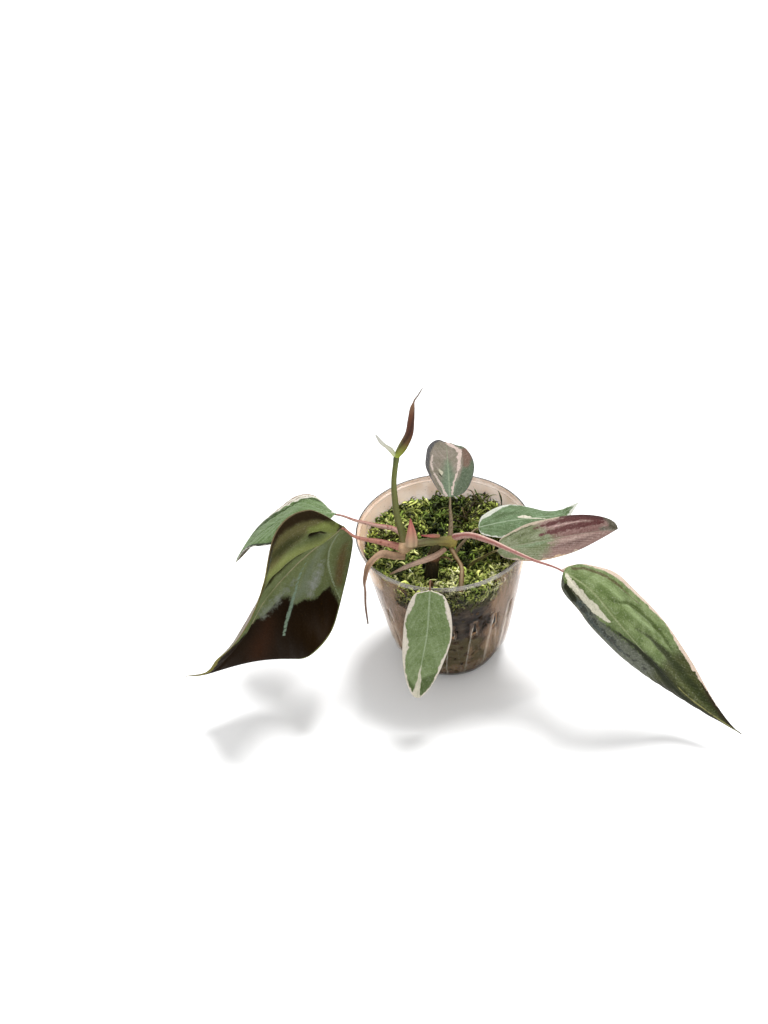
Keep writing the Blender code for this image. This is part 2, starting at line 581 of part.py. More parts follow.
STALK_FINISHES = {"left_back": stalk_pink, "left_front": stalk_pink, "right_front": stalk_pink}
BLADE_FINISHES = {"left_front": leaf_dark, "upright": leaf_mauve, "right_middle": leaf_mauve}
for place, (start, diameters) in STALKS.items():
    base = np.array(LEAVES[place]["rib"][0])
    ahead = np.array(LEAVES[place]["rib"][1])
    end = base - STALK_GAP * unit(unit(ahead - base) + unit(base - np.array(start[-1])))
    path = (*start, tuple(end))
    finish = STALK_FINISHES.get(place, stalk_brown)
    add_tube("stalk_" + place, path, diameters, finish, **STALK_SHAPE)
    make_blade("leaf_" + place, LEAVES[place], BLADE_FINISHES.get(place, leaf_green))
    if place in ROOTED_STALKS:
        cut_hole(moss, path, diameters, live_moss, **STALK_SHAPE)

for layer, finish in ((moss, live_moss), (soil, potting_mix)):
    cut_hole(layer, OLD_STEM_PATH, OLD_STEM_WIDTHS, finish, **OLD_STEM_SHAPE)
cut_hole(moss, LONG_ROOT_PATH, LONG_ROOT_WIDTHS, live_moss, **LONG_ROOT_SHAPE)
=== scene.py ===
import bpy
import numpy as np
from mathutils import Matrix, Vector


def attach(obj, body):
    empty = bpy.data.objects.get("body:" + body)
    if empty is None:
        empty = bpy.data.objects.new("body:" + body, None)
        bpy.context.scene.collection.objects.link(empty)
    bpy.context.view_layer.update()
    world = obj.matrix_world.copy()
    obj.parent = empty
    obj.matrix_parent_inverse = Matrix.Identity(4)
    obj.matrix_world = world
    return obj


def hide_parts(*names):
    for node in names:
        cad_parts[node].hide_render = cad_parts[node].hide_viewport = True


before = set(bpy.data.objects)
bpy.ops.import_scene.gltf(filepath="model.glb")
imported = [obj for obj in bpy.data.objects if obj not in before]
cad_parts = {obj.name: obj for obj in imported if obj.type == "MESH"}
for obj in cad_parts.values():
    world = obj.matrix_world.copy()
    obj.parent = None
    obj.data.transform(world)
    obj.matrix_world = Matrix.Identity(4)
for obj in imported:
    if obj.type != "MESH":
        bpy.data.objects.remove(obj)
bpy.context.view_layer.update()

# View and light
# The plant is seen from above and in front, a little tilted, on a white floor. A high soft lamp
# stands where the sun stood, a little behind it, and a white surround fills the shadows.
CAMERA_PLACE = (-0.0257, -0.2934, 0.3272)
CAMERA_PITCH = np.radians(39.08)
CAMERA_ROLL = np.radians(-7.16)
CAMERA_LENS = 29.88
FLOOR_HALF = 12.0
SUN_FROM = (0.25, 0.28, 0.93)
SUN_STRENGTH = 3.3
SUN_SPREAD = np.radians(18.0)
SURROUND = 0.88
LIT_SHARE = 0.74
FLOOR_WHITE = (0.97, 0.97, 0.97, 1.0)


def tone(red, green, blue):
    """A screen colour from 0 to 255 as linear values, lowered so that full light brings it back."""
    value = np.array([red, green, blue], float) / 255.0
    linear = np.where(value <= 0.04045, value / 12.92, ((value + 0.055) / 1.055) ** 2.4)
    return (*(linear * LIT_SHARE), 1.0)


def unit(vectors):
    """Vectors divided by their own lengths."""
    return vectors / np.linalg.norm(vectors, axis=-1, keepdims=True)


forward = np.array([0.0, np.cos(CAMERA_PITCH), -np.sin(CAMERA_PITCH)])
level_right = np.array([1.0, 0.0, 0.0])
level_up = np.cross(level_right, forward)
pose = np.eye(4)
pose[:3, 0] = np.cos(CAMERA_ROLL) * level_right + np.sin(CAMERA_ROLL) * level_up
pose[:3, 1] = np.cos(CAMERA_ROLL) * level_up - np.sin(CAMERA_ROLL) * level_right
pose[:3, 2] = -forward
pose[:3, 3] = CAMERA_PLACE
camera = bpy.data.objects.new("camera", bpy.data.cameras.new("camera"))
camera.data.lens = CAMERA_LENS
camera.data.sensor_width = 36.0
camera.data.clip_start = 0.01
camera.matrix_world = Matrix(pose.tolist())
bpy.context.scene.collection.objects.link(camera)
bpy.context.scene.camera = camera
bpy.context.scene.view_settings.view_transform = "Standard"

sun_lamp = bpy.data.lights.new("soft_sun", "SUN")
sun_lamp.energy = SUN_STRENGTH
sun_lamp.angle = SUN_SPREAD
sun = bpy.data.objects.new("soft_sun", sun_lamp)
sun.rotation_euler = Vector(SUN_FROM).to_track_quat("Z", "Y").to_euler()
bpy.context.scene.collection.objects.link(sun)
surround = bpy.data.worlds.new("surround")
surround.use_nodes = True
surround.node_tree.nodes["Background"].inputs["Color"].default_value = (1.0, 1.0, 1.0, 1.0)
surround.node_tree.nodes["Background"].inputs["Strength"].default_value = SURROUND
bpy.context.scene.world = surround

floor_mesh = bpy.data.meshes.new("floor")
floor_corners = [(-FLOOR_HALF, -FLOOR_HALF, 0), (FLOOR_HALF, -FLOOR_HALF, 0),
                 (FLOOR_HALF, FLOOR_HALF, 0), (-FLOOR_HALF, FLOOR_HALF, 0)]
floor_mesh.from_pydata(floor_corners, [], [(0, 1, 2, 3)])
floor = bpy.data.objects.new("floor", floor_mesh)
bpy.context.scene.collection.objects.link(floor)
floor_paint = bpy.data.materials.new("floor_paint")
floor_paint.use_nodes = True
floor_paint.node_tree.nodes["Principled BSDF"].inputs["Base Color"].default_value = FLOOR_WHITE
floor_paint.node_tree.nodes["Principled BSDF"].inputs["Roughness"].default_value = 0.9
floor_mesh.materials.append(floor_paint)

# Clear pot
# A thin pressed plastic pot: a plain foot with drain holes, a chamfer, a straight wall with twenty
# inverted-V pleats that open as slots under their points, and a small stepped rim.
RIM_RADIUS = 0.0400
POT_HEIGHT = 0.0760
RIM_BAND = 0.0026
WALL_TOP_RADIUS = 0.0388
SHOULDER_RADIUS = 0.0295
SHOULDER_HEIGHT = 0.0125
FOOT_RADIUS = 0.0235
POT_WALL = 0.0006
PLEATS = 20
FIRST_PLEAT_ANGLE = np.radians(-76.0)
PLEAT_APEX_HEIGHT = 0.0480
PLEAT_HALF_ANGLE = np.radians(9.2)
PLEAT_APEX_HALF_ANGLE = np.radians(0.3)
PLEAT_DEPTH = 0.0008
SLOT_BOTTOM = 0.0385
SLOT_TOP = 0.0470
DRAIN_RINGS = (0.0110, 0.0160)
FILM_FOOT = 0.0570
FILM_FULL = 0.0620
PLASTIC = tone(178, 140, 106)
PLASTIC_STREAK = tone(106, 82, 60)
PLASTIC_EDGE = tone(176, 142, 110)
PLASTIC_CREASE_HIGHLIGHT = tone(244, 236, 220)
PLASTIC_SPECK = tone(104, 84, 66)
FILM = (0.84, 0.55, 0.34, 1.0)
LEDGE = (0.52, 0.36, 0.24, 1.0)
RIM_BAND_TONE = tone(190, 184, 176)
RIM_GREY = tone(74, 68, 62)
FOOT_DARK = tone(66, 58, 44)


def add_piece(name, points, faces, finishes, fields=None, face_finish=None, crease=180.0):
    """A smooth-shaded mesh from arrays of points and of faces, three or four corners each.

    fields holds the named values or colours at each point that the finish reads.
    """
    mesh = bpy.data.meshes.new(name)
    corners = np.concatenate([part.ravel() for part in faces])
    sizes = np.concatenate([np.full(len(part), part.shape[1]) for part in faces])
    mesh.vertices.add(len(points))
    mesh.vertices.foreach_set("co", np.asarray(points, np.float32).ravel())
    mesh.loops.add(len(corners))
    mesh.loops.foreach_set("vertex_index", corners.astype(np.int32))
    mesh.polygons.add(len(sizes))
    mesh.polygons.foreach_set("loop_start", (np.cumsum(sizes) - sizes).astype(np.int32))
    for finish in finishes:
        mesh.materials.append(finish)
    if face_finish is not None:
        mesh.polygons.foreach_set("material_index", face_finish.astype(np.int32))
    mesh.update(calc_edges=True)
    for label, values in (fields or {}).items():
        values = np.asarray(values, np.float32)
        if values.ndim == 2:
            layer = mesh.attributes.new(label, "FLOAT_COLOR", "POINT")
            alpha = np.ones((len(values), 1), np.float32)
            layer.data.foreach_set("color", np.concatenate([values[:, :3], alpha], 1).ravel())
        else:
            mesh.attributes.new(label, "FLOAT", "POINT").data.foreach_set("value", values)
    mesh.shade_smooth()
    if crease < 180.0:
        mesh.set_sharp_from_angle(angle=np.radians(crease))
    piece = bpy.data.objects.new(name, mesh)
    bpy.context.scene.collection.objects.link(piece)
    return piece


def declare(piece, slot, *nodes):
    """Tie a piece to the frame: it rides on the one body and stands for its nodes."""
    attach(piece, "root")
    if nodes:
        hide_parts(*nodes)


def new_finish(name, roughness, **sockets):
    """A Principled material with the plain values that stay the same all over."""
    made = bpy.data.materials.new(name)
    made.use_nodes = True
    shader = made.node_tree.nodes["Principled BSDF"]
    shader.inputs["Roughness"].default_value = roughness
    for label, value in sockets.items():
        shader.inputs[label.replace("_", " ")].default_value = value
    return made, made.node_tree, shader


def add_node(tree, kind, inputs=None, **settings):
    """A shader node with its settings, and each input given as a value or as a link from a socket."""
    node = tree.nodes.new(kind)
    for label, value in settings.items():
        setattr(node, label, value)
    for label, value in (inputs or {}).items():
        if isinstance(value, bpy.types.NodeSocket):
            tree.links.new(value, node.inputs[label])
        else:
            node.inputs[label].default_value = value
    return node


def blend_colours(tree, share, first, second, way="MIX"):
    """The first colour mixed with the second by a share from 0 to 1."""
    node = add_node(tree, "ShaderNodeMix", {0: share, 6: first, 7: second}, data_type="RGBA", blend_type=way)
    return node.outputs[2]


def painted(tree, colour, layers):
    """A colour with layers laid over it in turn, each a share from 0 to 1 and its own colour."""
    for share, over in layers:
        colour = blend_colours(tree, share, colour, over)
    return colour


def reckon(tree, operation, *values):
    """One step of arithmetic on shader values."""
    return add_node(tree, "ShaderNodeMath", dict(enumerate(values)), operation=operation).outputs[0]


def read_field(tree, label, output="Fac"):
    """A named value or colour that the mesh holds at each point."""
    return add_node(tree, "ShaderNodeAttribute", attribute_name=label).outputs[output]


def object_place(tree, stretch=(1.0, 1.0, 1.0)):
    """The point's place in the object's own axes, stretched if a pattern runs one way."""
    place = add_node(tree, "ShaderNodeTexCoord").outputs["Object"]
    if stretch == (1.0, 1.0, 1.0):
        return place
    return add_node(tree, "ShaderNodeMapping", {"Vector": place, "Scale": stretch}).outputs[0]


def cloudy(tree, place, scale, detail=3.0, roughness=0.6):
    """Noise values around one half; scale counts its lumps in a metre."""
    inputs = {"Vector": place, "Scale": scale, "Detail": detail, "Roughness": roughness}
    return add_node(tree, "ShaderNodeTexNoise", inputs).outputs[0]


def ramp(tree, value, low, high, low_out=0.0, high_out=1.0, easing="SMOOTHSTEP"):
    """A value carried from one range to another, held at both ends."""
    inputs = {"Value": value, "From Min": low, "From Max": high, "To Min": low_out, "To Max": high_out}
    return add_node(tree, "ShaderNodeMapRange", inputs, interpolation_type=easing).outputs[0]


def raise_bumps(tree, shader, height, depth, strength=1.0):
    """A bump of that depth in metres on the shader's normal."""
    bump = add_node(tree, "ShaderNodeBump", {"Height": height, "Distance": depth, "Strength": strength})
    tree.links.new(bump.outputs[0], shader.inputs["Normal"])


def pot_radius(z):
    """Outer radius of the pot's plain wall at a height: a chamfer, then a straight taper."""
    heights = (0.0, SHOULDER_HEIGHT, POT_HEIGHT - RIM_BAND)
    return np.interp(z, heights, (FOOT_RADIUS, SHOULDER_RADIUS, WALL_TOP_RADIUS))


def pot_skin():
    """Rings of the outer wall: radius from the profile, less the pleat's press inward.

    Each pleat is eight columns: four across the pressed V, whose creases spread downward from the
    apex, and four across the plain land beside it.
    """
    wall = np.array([SHOULDER_HEIGHT, 0.0155, 0.0200, 0.0250, 0.0300, 0.0345, SLOT_BOTTOM, 0.0415,
                     0.0445, SLOT_TOP, PLEAT_APEX_HEIGHT, 0.0520, 0.0580, 0.0650, 0.0710,
                     POT_HEIGHT - RIM_BAND])
    foot = [(radius, 0.0) for radius in (0.0045, 0.0080, *DRAIN_RINGS, 0.0200, FOOT_RADIUS - 0.0008)]
    foot += [(FOOT_RADIUS - 0.0002, 0.0004), (FOOT_RADIUS + 0.0003, 0.0012)]
    lip = [(WALL_TOP_RADIUS + 0.0004, 0.0736), (RIM_RADIUS - 0.0002, 0.0739), (RIM_RADIUS - 0.0001, 0.0745),
           (RIM_RADIUS, 0.0755), (RIM_RADIUS, POT_HEIGHT)]
    profile = foot + [(pot_radius(z), z) for z in wall] + lip
    radius, z = np.array(profile).T
    drop = np.clip(1 - np.maximum(z, SHOULDER_HEIGHT) / PLEAT_APEX_HEIGHT, 0.0, 1.0)
    half_angle = PLEAT_APEX_HALF_ANGLE + (PLEAT_HALF_ANGLE - PLEAT_APEX_HALF_ANGLE) * drop
    pitch = 2 * np.pi / PLEATS
    share = np.array([-1.0, -0.5, 0.0, 0.5, 1.0, 1.0, 1.0, 1.0])
    land = np.array([0.0, 0.0, 0.0, 0.0, 0.0, 0.25, 0.5, 0.75])
    offset = half_angle[:, None] * share + land * (pitch - 2 * half_angle[:, None])
    press = PLEAT_DEPTH * (1 - np.abs(share)) * (land == 0)
    press = press * (drop * np.clip(z / SHOULDER_HEIGHT, 0.0, 1.0))[:, None]
    middle = FIRST_PLEAT_ANGLE + pitch * np.arange(PLEATS)
    angle = (middle[None, :, None] + offset[:, None, :]).reshape(len(z), -1)
    reach = radius[:, None] - np.tile(press, (1, PLEATS))
    level = np.broadcast_to(z[:, None], reach.shape)
    points = np.stack([reach * np.cos(angle), reach * np.sin(angle), level], -1)
    # The crease field is a painted highlight on the two creases of each pressed V, full low down, fainter
    # just under the apex and gone above it.
    bright = np.array([1.0, 0.0, 0.0, 0.0, 0.82, 0.0, 0.0, 0.0])
    crease = np.tile(bright, PLEATS) * (drop[:, None] > 0) * np.clip(drop[:, None] * 4 + 0.4, 0, 1)
    return points, profile, crease


def plastic_finish(name, milk_near, milk_far):
    """One face of the wall: hazy aslant, scuffed and specked, with a milky film above the mix.

    Alpha is the greatest of the haze, the film, the pressed creases, the rim and the foot's edge; the
    creases carry a painted highlight, a pale opaque line.
    The film covers by milk_near seen from the face's own side and by milk_far through the wall.
    """
    made, tree, shader = new_finish(name, 0.15, IOR=1.49, Specular_IOR_Level=0.18)
    place = object_place(tree)
    spot = add_node(tree, "ShaderNodeSeparateXYZ", {"Vector": place}).outputs
    scuffs = cloudy(tree, object_place(tree, (1.0, 1.0, 0.12)), 420.0, 5.0, 0.7)
    specks = ramp(tree, cloudy(tree, place, 1300.0, 2.0), 0.68, 0.73)
    stains = cloudy(tree, place, 75.0, 4.0)
    front = ramp(tree, spot["Y"], 0.0, -0.020)
    band = reckon(tree, "MULTIPLY", ramp(tree, spot["Z"], 0.0731, 0.0737), front)
    rim = read_field(tree, "rim")
    crease = read_field(tree, "crease")
    behind = add_node(tree, "ShaderNodeNewGeometry").outputs["Backfacing"]
    milk = ramp(tree, behind, 0.0, 1.0, milk_near, milk_far)
    above_mix = ramp(tree, spot["Z"], FILM_FOOT, FILM_FULL)
    film = reckon(tree, "MULTIPLY", above_mix, ramp(tree, spot["Y"], -0.026, -0.010))
    cloud = ramp(tree, stains, 0.25, 0.6, 0.9, 1.05)
    cover = reckon(tree, "MULTIPLY", reckon(tree, "MULTIPLY", film, milk), cloud)
    glance = add_node(tree, "ShaderNodeLayerWeight", {"Blend": 0.35}).outputs["Facing"]
    aslant = reckon(tree, "MULTIPLY_ADD", stains, 0.30, glance)
    haze = ramp(tree, aslant, 0.56, 0.63, 0.006, 0.42)
    haze = reckon(tree, "ADD", haze, ramp(tree, aslant, 0.70, 0.92, 0.0, 0.5))
    haze = reckon(tree, "MULTIPLY", haze, ramp(tree, spot["Z"], 0.010, 0.024, 0.25, 1.0))
    haze = reckon(tree, "ADD", haze, ramp(tree, scuffs, 0.55, 0.85, 0.0, 0.07))
    haze = reckon(tree, "ADD", haze, ramp(tree, stains, 0.58, 0.8, 0.0, 0.05))
    # Painted highlight along the pressed creases, as a thin opaque line.
    line = reckon(tree, "MULTIPLY", reckon(tree, "POWER", crease, 12.0), 0.58)
    rim_cover = ramp(tree, front, 0.0, 1.0, 0.92, 0.78)
    rim_cover = reckon(tree, "MULTIPLY", reckon(tree, "POWER", rim, 3.0), rim_cover)
    foot = ramp(tree, spot["Z"], 0.0030, 0.0012)
    alpha = reckon(tree, "MAXIMUM", haze, cover)
    band_cover = reckon(tree, "MULTIPLY", band, 0.4)
    foot_cover = reckon(tree, "MULTIPLY", foot, 0.75)
    for solid in (line, rim_cover, band_cover, foot_cover):
        alpha = reckon(tree, "MAXIMUM", alpha, solid)
    alpha = reckon(tree, "MINIMUM", reckon(tree, "MULTIPLY_ADD", specks, 0.3, alpha), 1.0)
    tree.links.new(alpha, shader.inputs["Alpha"])
    ledge_top = ramp(tree, spot["Z"], 0.0746, 0.0741)
    ledge = reckon(tree, "MULTIPLY", ramp(tree, spot["Z"], 0.0732, 0.0736), ledge_top)
    rim_tone = blend_colours(tree, reckon(tree, "MULTIPLY", front, 0.55), RIM_GREY, RIM_BAND_TONE)
    layers = (
        (ramp(tree, scuffs, 0.42, 0.62), PLASTIC_STREAK), (ramp(tree, aslant, 0.90, 1.05), PLASTIC_EDGE),
        (ramp(tree, film, 0.1, 0.4), FILM), (ledge, LEDGE), (ramp(tree, crease, 0.6, 0.9), PLASTIC_CREASE_HIGHLIGHT),
        (specks, PLASTIC_SPECK), (band, RIM_BAND_TONE), (rim, rim_tone), (foot, FOOT_DARK))
    tree.links.new(painted(tree, PLASTIC, layers), shader.inputs["Base Color"])
    tree.links.new(ramp(tree, scuffs, 0.3, 0.8, 0.10, 0.35), shader.inputs["Roughness"])
    raise_bumps(tree, shader, scuffs, 0.0001, 0.3)
    return made


def make_pot():
    """The outer skin's faces, with the slots and drain holes left open and a fan in the foot."""
    points, profile, crease = pot_skin()
    rows, columns = points.shape[:2]
    index = np.arange(rows * columns).reshape(rows, columns)
    after = np.roll(index, -1, axis=1)
    quads = np.stack([index[:-1], after[:-1], after[1:], index[1:]], -1)
    radii, heights = np.array(profile)[:-1].T
    column = np.arange(columns)
    slot = ((heights >= SLOT_BOTTOM) & (heights < SLOT_TOP))[:, None] & (column % 8 < 4)[None]
    drain = (radii == DRAIN_RINGS[0])[:, None] & np.isin(column % 32, (12, 13, 14, 15, 16, 17))[None]
    middle = np.array([[0.0, 0.0, 0.0]])
    fan = np.stack([np.full(columns, rows * columns), after[0], index[0]], -1)
    rim = 1.0 * (points[..., 2] > POT_HEIGHT - 0.0002)
    fields = {"crease": np.append(crease.ravel(), 0.0), "rim": np.append(rim.ravel(), 0.0)}
    finishes = [plastic_finish("clear_plastic", 0.06, 0.06),
                plastic_finish("clear_plastic_inside", 0.84, 0.20)]
    return add_piece("clear_pot", np.concatenate([points.reshape(-1, 3), middle]),
                     [quads[~(slot | drain)], fan], finishes, fields, crease=24.0)


pot = make_pot()
pot_thickness = pot.modifiers.new("wall", "SOLIDIFY")
pot_thickness.thickness = POT_WALL
pot_thickness.offset = -1.0
pot_thickness.material_offset = 1
declare(pot, "clear_plastic", "pot")

# Potting mix
# One root ball of damp bark and peat that fills the pot under the moss. Its side shows through the
# wall: dark crumb, a few tan bark chips and pale fibres, and an olive bloom of algae lower down.
SOIL_TOP = 0.0550
SOIL_CLEARANCE = 0.0017
SOIL_FOOT = 0.0011
SOIL_CRUMB = 0.0005
SLOT_SHADE_DROP = 0.0032
CHIP_COUNT = 420
FIBRE_COUNT = 70
SLIVER_POINTS = 12


def soft_noise(points, size, seed):
    """Smooth values mostly from -1 to 1: nine sine waves in random directions, near one length."""
    draw = np.random.default_rng(seed)
    total = np.zeros(points.shape[:-1])
    for wave in range(9):
        heading = unit(draw.normal(size=3))
        length = size * draw.uniform(0.6, 1.5)
        total += np.sin(2 * np.pi * (points @ heading) / length + draw.uniform(0, 2 * np.pi))
    return total / 3.0


def ring_faces(rings, columns, start=0):
    """Four-cornered faces between rings of equal count, the last column joined to the first."""
    index = start + np.arange(rings * columns).reshape(rings, columns)
    after = np.roll(index, -1, axis=1)
    return np.stack([index[:-1], after[:-1], after[1:], index[1:]], -1).reshape(-1, 4)


def end_fans(rings, columns, first, last):
    """Three-cornered faces from the first ring to one point and from the last ring to another."""
    index = np.arange(columns)
    after = np.roll(index, -1)
    top = (rings - 1) * columns
    low = np.stack([np.full(columns, first), after, index], -1)
    high = np.stack([np.full(columns, last), top + index, top + after], -1)
    return np.concatenate([low, high])


def turned_plug(radius, z, columns, crumb, size, seed):
    """A turned profile, closed at both ends on the axis, with its surface pushed out by noise."""
    turn = np.linspace(0.0, 2 * np.pi, columns, endpoint=False)
    points = np.stack([radius[:, None] * np.cos(turn), radius[:, None] * np.sin(turn),
                       np.broadcast_to(z[:, None], (len(z), columns))], -1)
    push = crumb * (0.6 * soft_noise(points, size, seed) + 0.4 * soft_noise(points, size / 3, seed + 1))
    outward = np.stack([np.cos(turn), np.sin(turn), np.zeros(columns)], -1)
    points = points + np.clip(push, -crumb, crumb)[..., None] * outward
    ends = np.array([[0.0, 0.0, z[0]], [0.0, 0.0, z[-1]]])
    count = len(z) * columns
    return np.concatenate([points.reshape(-1, 3), ends]), [
        ring_faces(len(z), columns), end_fans(len(z), columns, count, count + 1)]


soil_side = np.linspace(SOIL_FOOT + 0.0004, SOIL_TOP - 0.0005, 90)
soil_rows = np.concatenate([np.full(6, SOIL_FOOT), soil_side, np.full(6, SOIL_TOP)])
soil_radius = pot_radius(soil_rows) - SOIL_CLEARANCE
soil_radius[:6] = np.linspace(0.002, pot_radius(SOIL_FOOT) - SOIL_CLEARANCE, 6)
soil_radius[-6:] = np.linspace(pot_radius(SOIL_TOP) - SOIL_CLEARANCE, 0.002, 6)
points, faces = turned_plug(soil_radius, soil_rows, 200, SOIL_CRUMB, 0.004, 11)

potting_mix, tree, shader = new_finish("potting_mix", 0.75)
place = object_place(tree)
crumb = cloudy(tree, place, 260.0, 6.0, 0.7)
patches = cloudy(tree, place, 55.0, 3.0)
height = add_node(tree, "ShaderNodeSeparateXYZ", {"Vector": place}).outputs["Z"]
algae = ramp(tree, reckon(tree, "MULTIPLY_ADD", patches, -0.045, height), 0.014, 0.004)
mix_layers = (
    (ramp(tree, crumb, 0.38, 0.66), tone(74, 60, 46)), (ramp(tree, patches, 0.5, 0.75), tone(46, 37, 27)),
    (reckon(tree, "MULTIPLY", algae, 0.8), tone(82, 70, 32)),
    (read_field(tree, "slot_shade"), tone(12, 9, 6)))
tree.links.new(painted(tree, tone(30, 22, 15), mix_layers), shader.inputs["Base Color"])
raise_bumps(tree, shader, crumb, 0.0006, 0.8)


def slot_shading(spots):
    """Share from 0 to 1 of the dark behind the pot's slots, by how near a spot lies to one."""
    apart = np.mod(np.arctan2(spots[:, 1], spots[:, 0]) - FIRST_PLEAT_ANGLE, 2 * np.pi / PLEATS)
    apart = np.minimum(apart, 2 * np.pi / PLEATS - apart) * np.hypot(spots[:, 0], spots[:, 1])
    level = (spots[:, 2] > SLOT_BOTTOM - SLOT_SHADE_DROP) & (spots[:, 2] < SLOT_TOP + 0.0008)
    return np.clip(2.2 - apart / 0.0017, 0, 1) * level


soil = add_piece("potting_mix", points, faces, [potting_mix], {"slot_shade": slot_shading(points)})
declare(soil, "potting_mix", "soil")


def scatter_slivers(count, seed, lengths, widths, thickness):
    """Six-cornered flat slivers laid on the root ball's side, each turned its own way.

    A sliver is a long hexagon with two faces: its corners go round at fixed shares of its length
    and width, shaken a little, and it lies along the wall at a random slant.
    """
    draw = np.random.default_rng(seed)
    turn = draw.uniform(0, 2 * np.pi, count)
    z = draw.uniform(0.003, SOIL_TOP - 0.001, count)
    radius = pot_radius(z) - SOIL_CLEARANCE + 0.0001
    outward = np.stack([np.cos(turn), np.sin(turn), np.full(count, -0.14)], -1)
    around = np.stack([-np.sin(turn), np.cos(turn), np.zeros(count)], -1)
    outward = unit(outward)
    upward = np.cross(outward, around)
    slant = draw.normal(0.0, 0.9, count)[:, None]
    along = np.cos(slant) * around + np.sin(slant) * upward
    across = np.cos(slant) * upward - np.sin(slant) * around
    centre = np.stack([radius * np.cos(turn), radius * np.sin(turn), z], -1)
    length = draw.uniform(*lengths, count)[:, None, None] / 2
    width = draw.uniform(*widths, count)[:, None, None] / 2
    shape = np.array([(1.0, 0.1), (0.5, 0.9), (-0.6, 1.0), (-1.0, -0.1), (-0.5, -1.0), (0.6, -0.8)])
    shape = shape[None] * draw.uniform(0.75, 1.2, (count, 6, 2))
    flat = centre[:, None] + shape[..., :1] * length * along[:, None]
    flat = flat + shape[..., 1:] * width * across[:, None]
    out = np.stack([flat - outward[:, None] * thickness, flat + outward[:, None] * thickness], 1)
    points = out.reshape(-1, 3)
    base = SLIVER_POINTS * np.arange(count)[:, None, None]
    ring = np.arange(6)
    sides = np.stack([ring, (ring + 1) % 6, (ring + 1) % 6 + 6, ring + 6], -1)[None] + base
    caps = np.array([(6, 7, 8, 9), (6, 9, 10, 11), (3, 2, 1, 0), (5, 4, 3, 0)])[None] + base
    return points, np.concatenate([sides, caps], 1).reshape(-1, 4), draw.random(count)


chip_sorts = (
    (CHIP_COUNT, 21, (0.0008, 0.0034), (0.0005, 0.0016), 0.00025,
     (tone(78, 60, 44), tone(34, 25, 18), tone(104, 84, 62), tone(58, 46, 32), tone(84, 74, 42))),
    (FIBRE_COUNT, 22, (0.003, 0.009), (0.0002, 0.0005), 0.0002,
     (tone(120, 100, 76), tone(90, 72, 50), tone(136, 118, 90))))
chip_points, chip_faces, chip_colours = np.empty((0, 3)), np.empty((0, 4), int), np.empty((0, 4))
for *sizes, sort_tones in chip_sorts:
    points, faces, choice = scatter_slivers(*sizes)
    sort_colours = np.array(sort_tones)[(choice * len(sort_tones)).astype(int)]
    chip_faces = np.concatenate([chip_faces, faces + len(chip_points)])
    chip_points = np.concatenate([chip_points, points])
    chip_colours = np.concatenate([chip_colours, np.repeat(sort_colours, SLIVER_POINTS, axis=0)])
chip_colours = chip_colours * (1 - 0.93 * slot_shading(chip_points))[:, None]


def new_group(name, inputs, outputs):
    """An empty node group with its named sockets."""
    group = bpy.data.node_groups.new(name, "ShaderNodeTree")
    for way, sockets in (("INPUT", inputs), ("OUTPUT", outputs)):
        for label, kind in sockets.items():
            group.interface.new_socket(label, in_out=way, socket_type=kind)
    return group, group.nodes.new("NodeGroupInput").outputs, group.nodes.new("NodeGroupOutput").inputs


FLOAT, COLOUR, VECTOR = "NodeSocketFloat", "NodeSocketColor", "NodeSocketVector"

# The grain of bark, moss, skin and dry sheaths: fine noise that darkens their tint by a share.
grain_group, given, result = new_group(
    "fine_grain", {"Place": VECTOR, "Tint": COLOUR, "Lumps": FLOAT, "Dark Share": FLOAT},
    {"Colour": COLOUR, "Height": FLOAT})
grain = cloudy(grain_group, given["Place"], given["Lumps"], 4.0)
dark = blend_colours(grain_group, 1.0, given["Tint"], given["Dark Share"], "MULTIPLY")
grained = blend_colours(grain_group, ramp(grain_group, grain, 0.35, 0.65), dark, given["Tint"])
grain_group.links.new(grained, result["Colour"])
grain_group.links.new(grain, result["Height"])


def tinted_finish(name, roughness, lumps, dark_share, bump_depth):
    """A material that takes its colour from the mesh's tint, with a grain of so many lumps a metre."""
    made, tree, shader = new_finish(name, roughness, Specular_IOR_Level=0.2)
    inputs = {"Place": object_place(tree), "Tint": read_field(tree, "tint", "Color"), "Lumps": lumps,
              "Dark Share": dark_share}
    grained = add_node(tree, "ShaderNodeGroup", inputs, node_tree=grain_group).outputs
    tree.links.new(grained["Colour"], shader.inputs["Base Color"])
    raise_bumps(tree, shader, grained["Height"], bump_depth, 0.6)
    return made


bark_finish = tinted_finish("bark_and_fibre", 0.8, 900.0, 0.6, 0.0002)
chips = add_piece(
    "bark_chips", chip_points, [chip_faces], [bark_finish], {"tint": chip_colours}, crease=30.0)
declare(chips, "potting_mix")

# Live moss
# A low cushion of curled moss that covers the mix and climbs the wall at the front. Its strands curl
# over like hooks, painted lime as sunlight where the sun falls and painted dark as shade in the gaps,
# with whorls of small leaflets and thicker curls among them, and dark runners stand up out of it at
# the back right and at the left.
MOSS_HEIGHT = 0.0635
MOSS_BANK = 0.0055
MOSS_BUMP = 0.0011
MOSS_WALL_GAP = 0.0012
MOSS_REACH = 0.0362
BED_DROP = 0.0016
STRAND_COUNT = 2780
WALL_STRANDS = 420
WHORL_COUNT = 900
LEAFLETS = 8
RUNNER_COUNT = 84
RIGHT_RUNNERS = 66
CURL_COUNT = 320
WALL_CLEARANCE = 0.0004
# Moss greens from dark to pale lime: the dark end serves as painted shade and the pale end as painted
# sunlight.
MOSS_GREENS_SHADED_TO_LIT = np.array([
    tone(50, 60, 22), tone(74, 90, 34), tone(98, 116, 46), tone(118, 124, 60), tone(150, 162, 78),
    tone(178, 186, 102), tone(204, 208, 134), tone(228, 226, 170)])[:, :3]
RUNNER_TONES = np.array([tone(66, 66, 24), tone(102, 104, 44), tone(56, 44, 26), tone(96, 82, 48)])[:, :3]
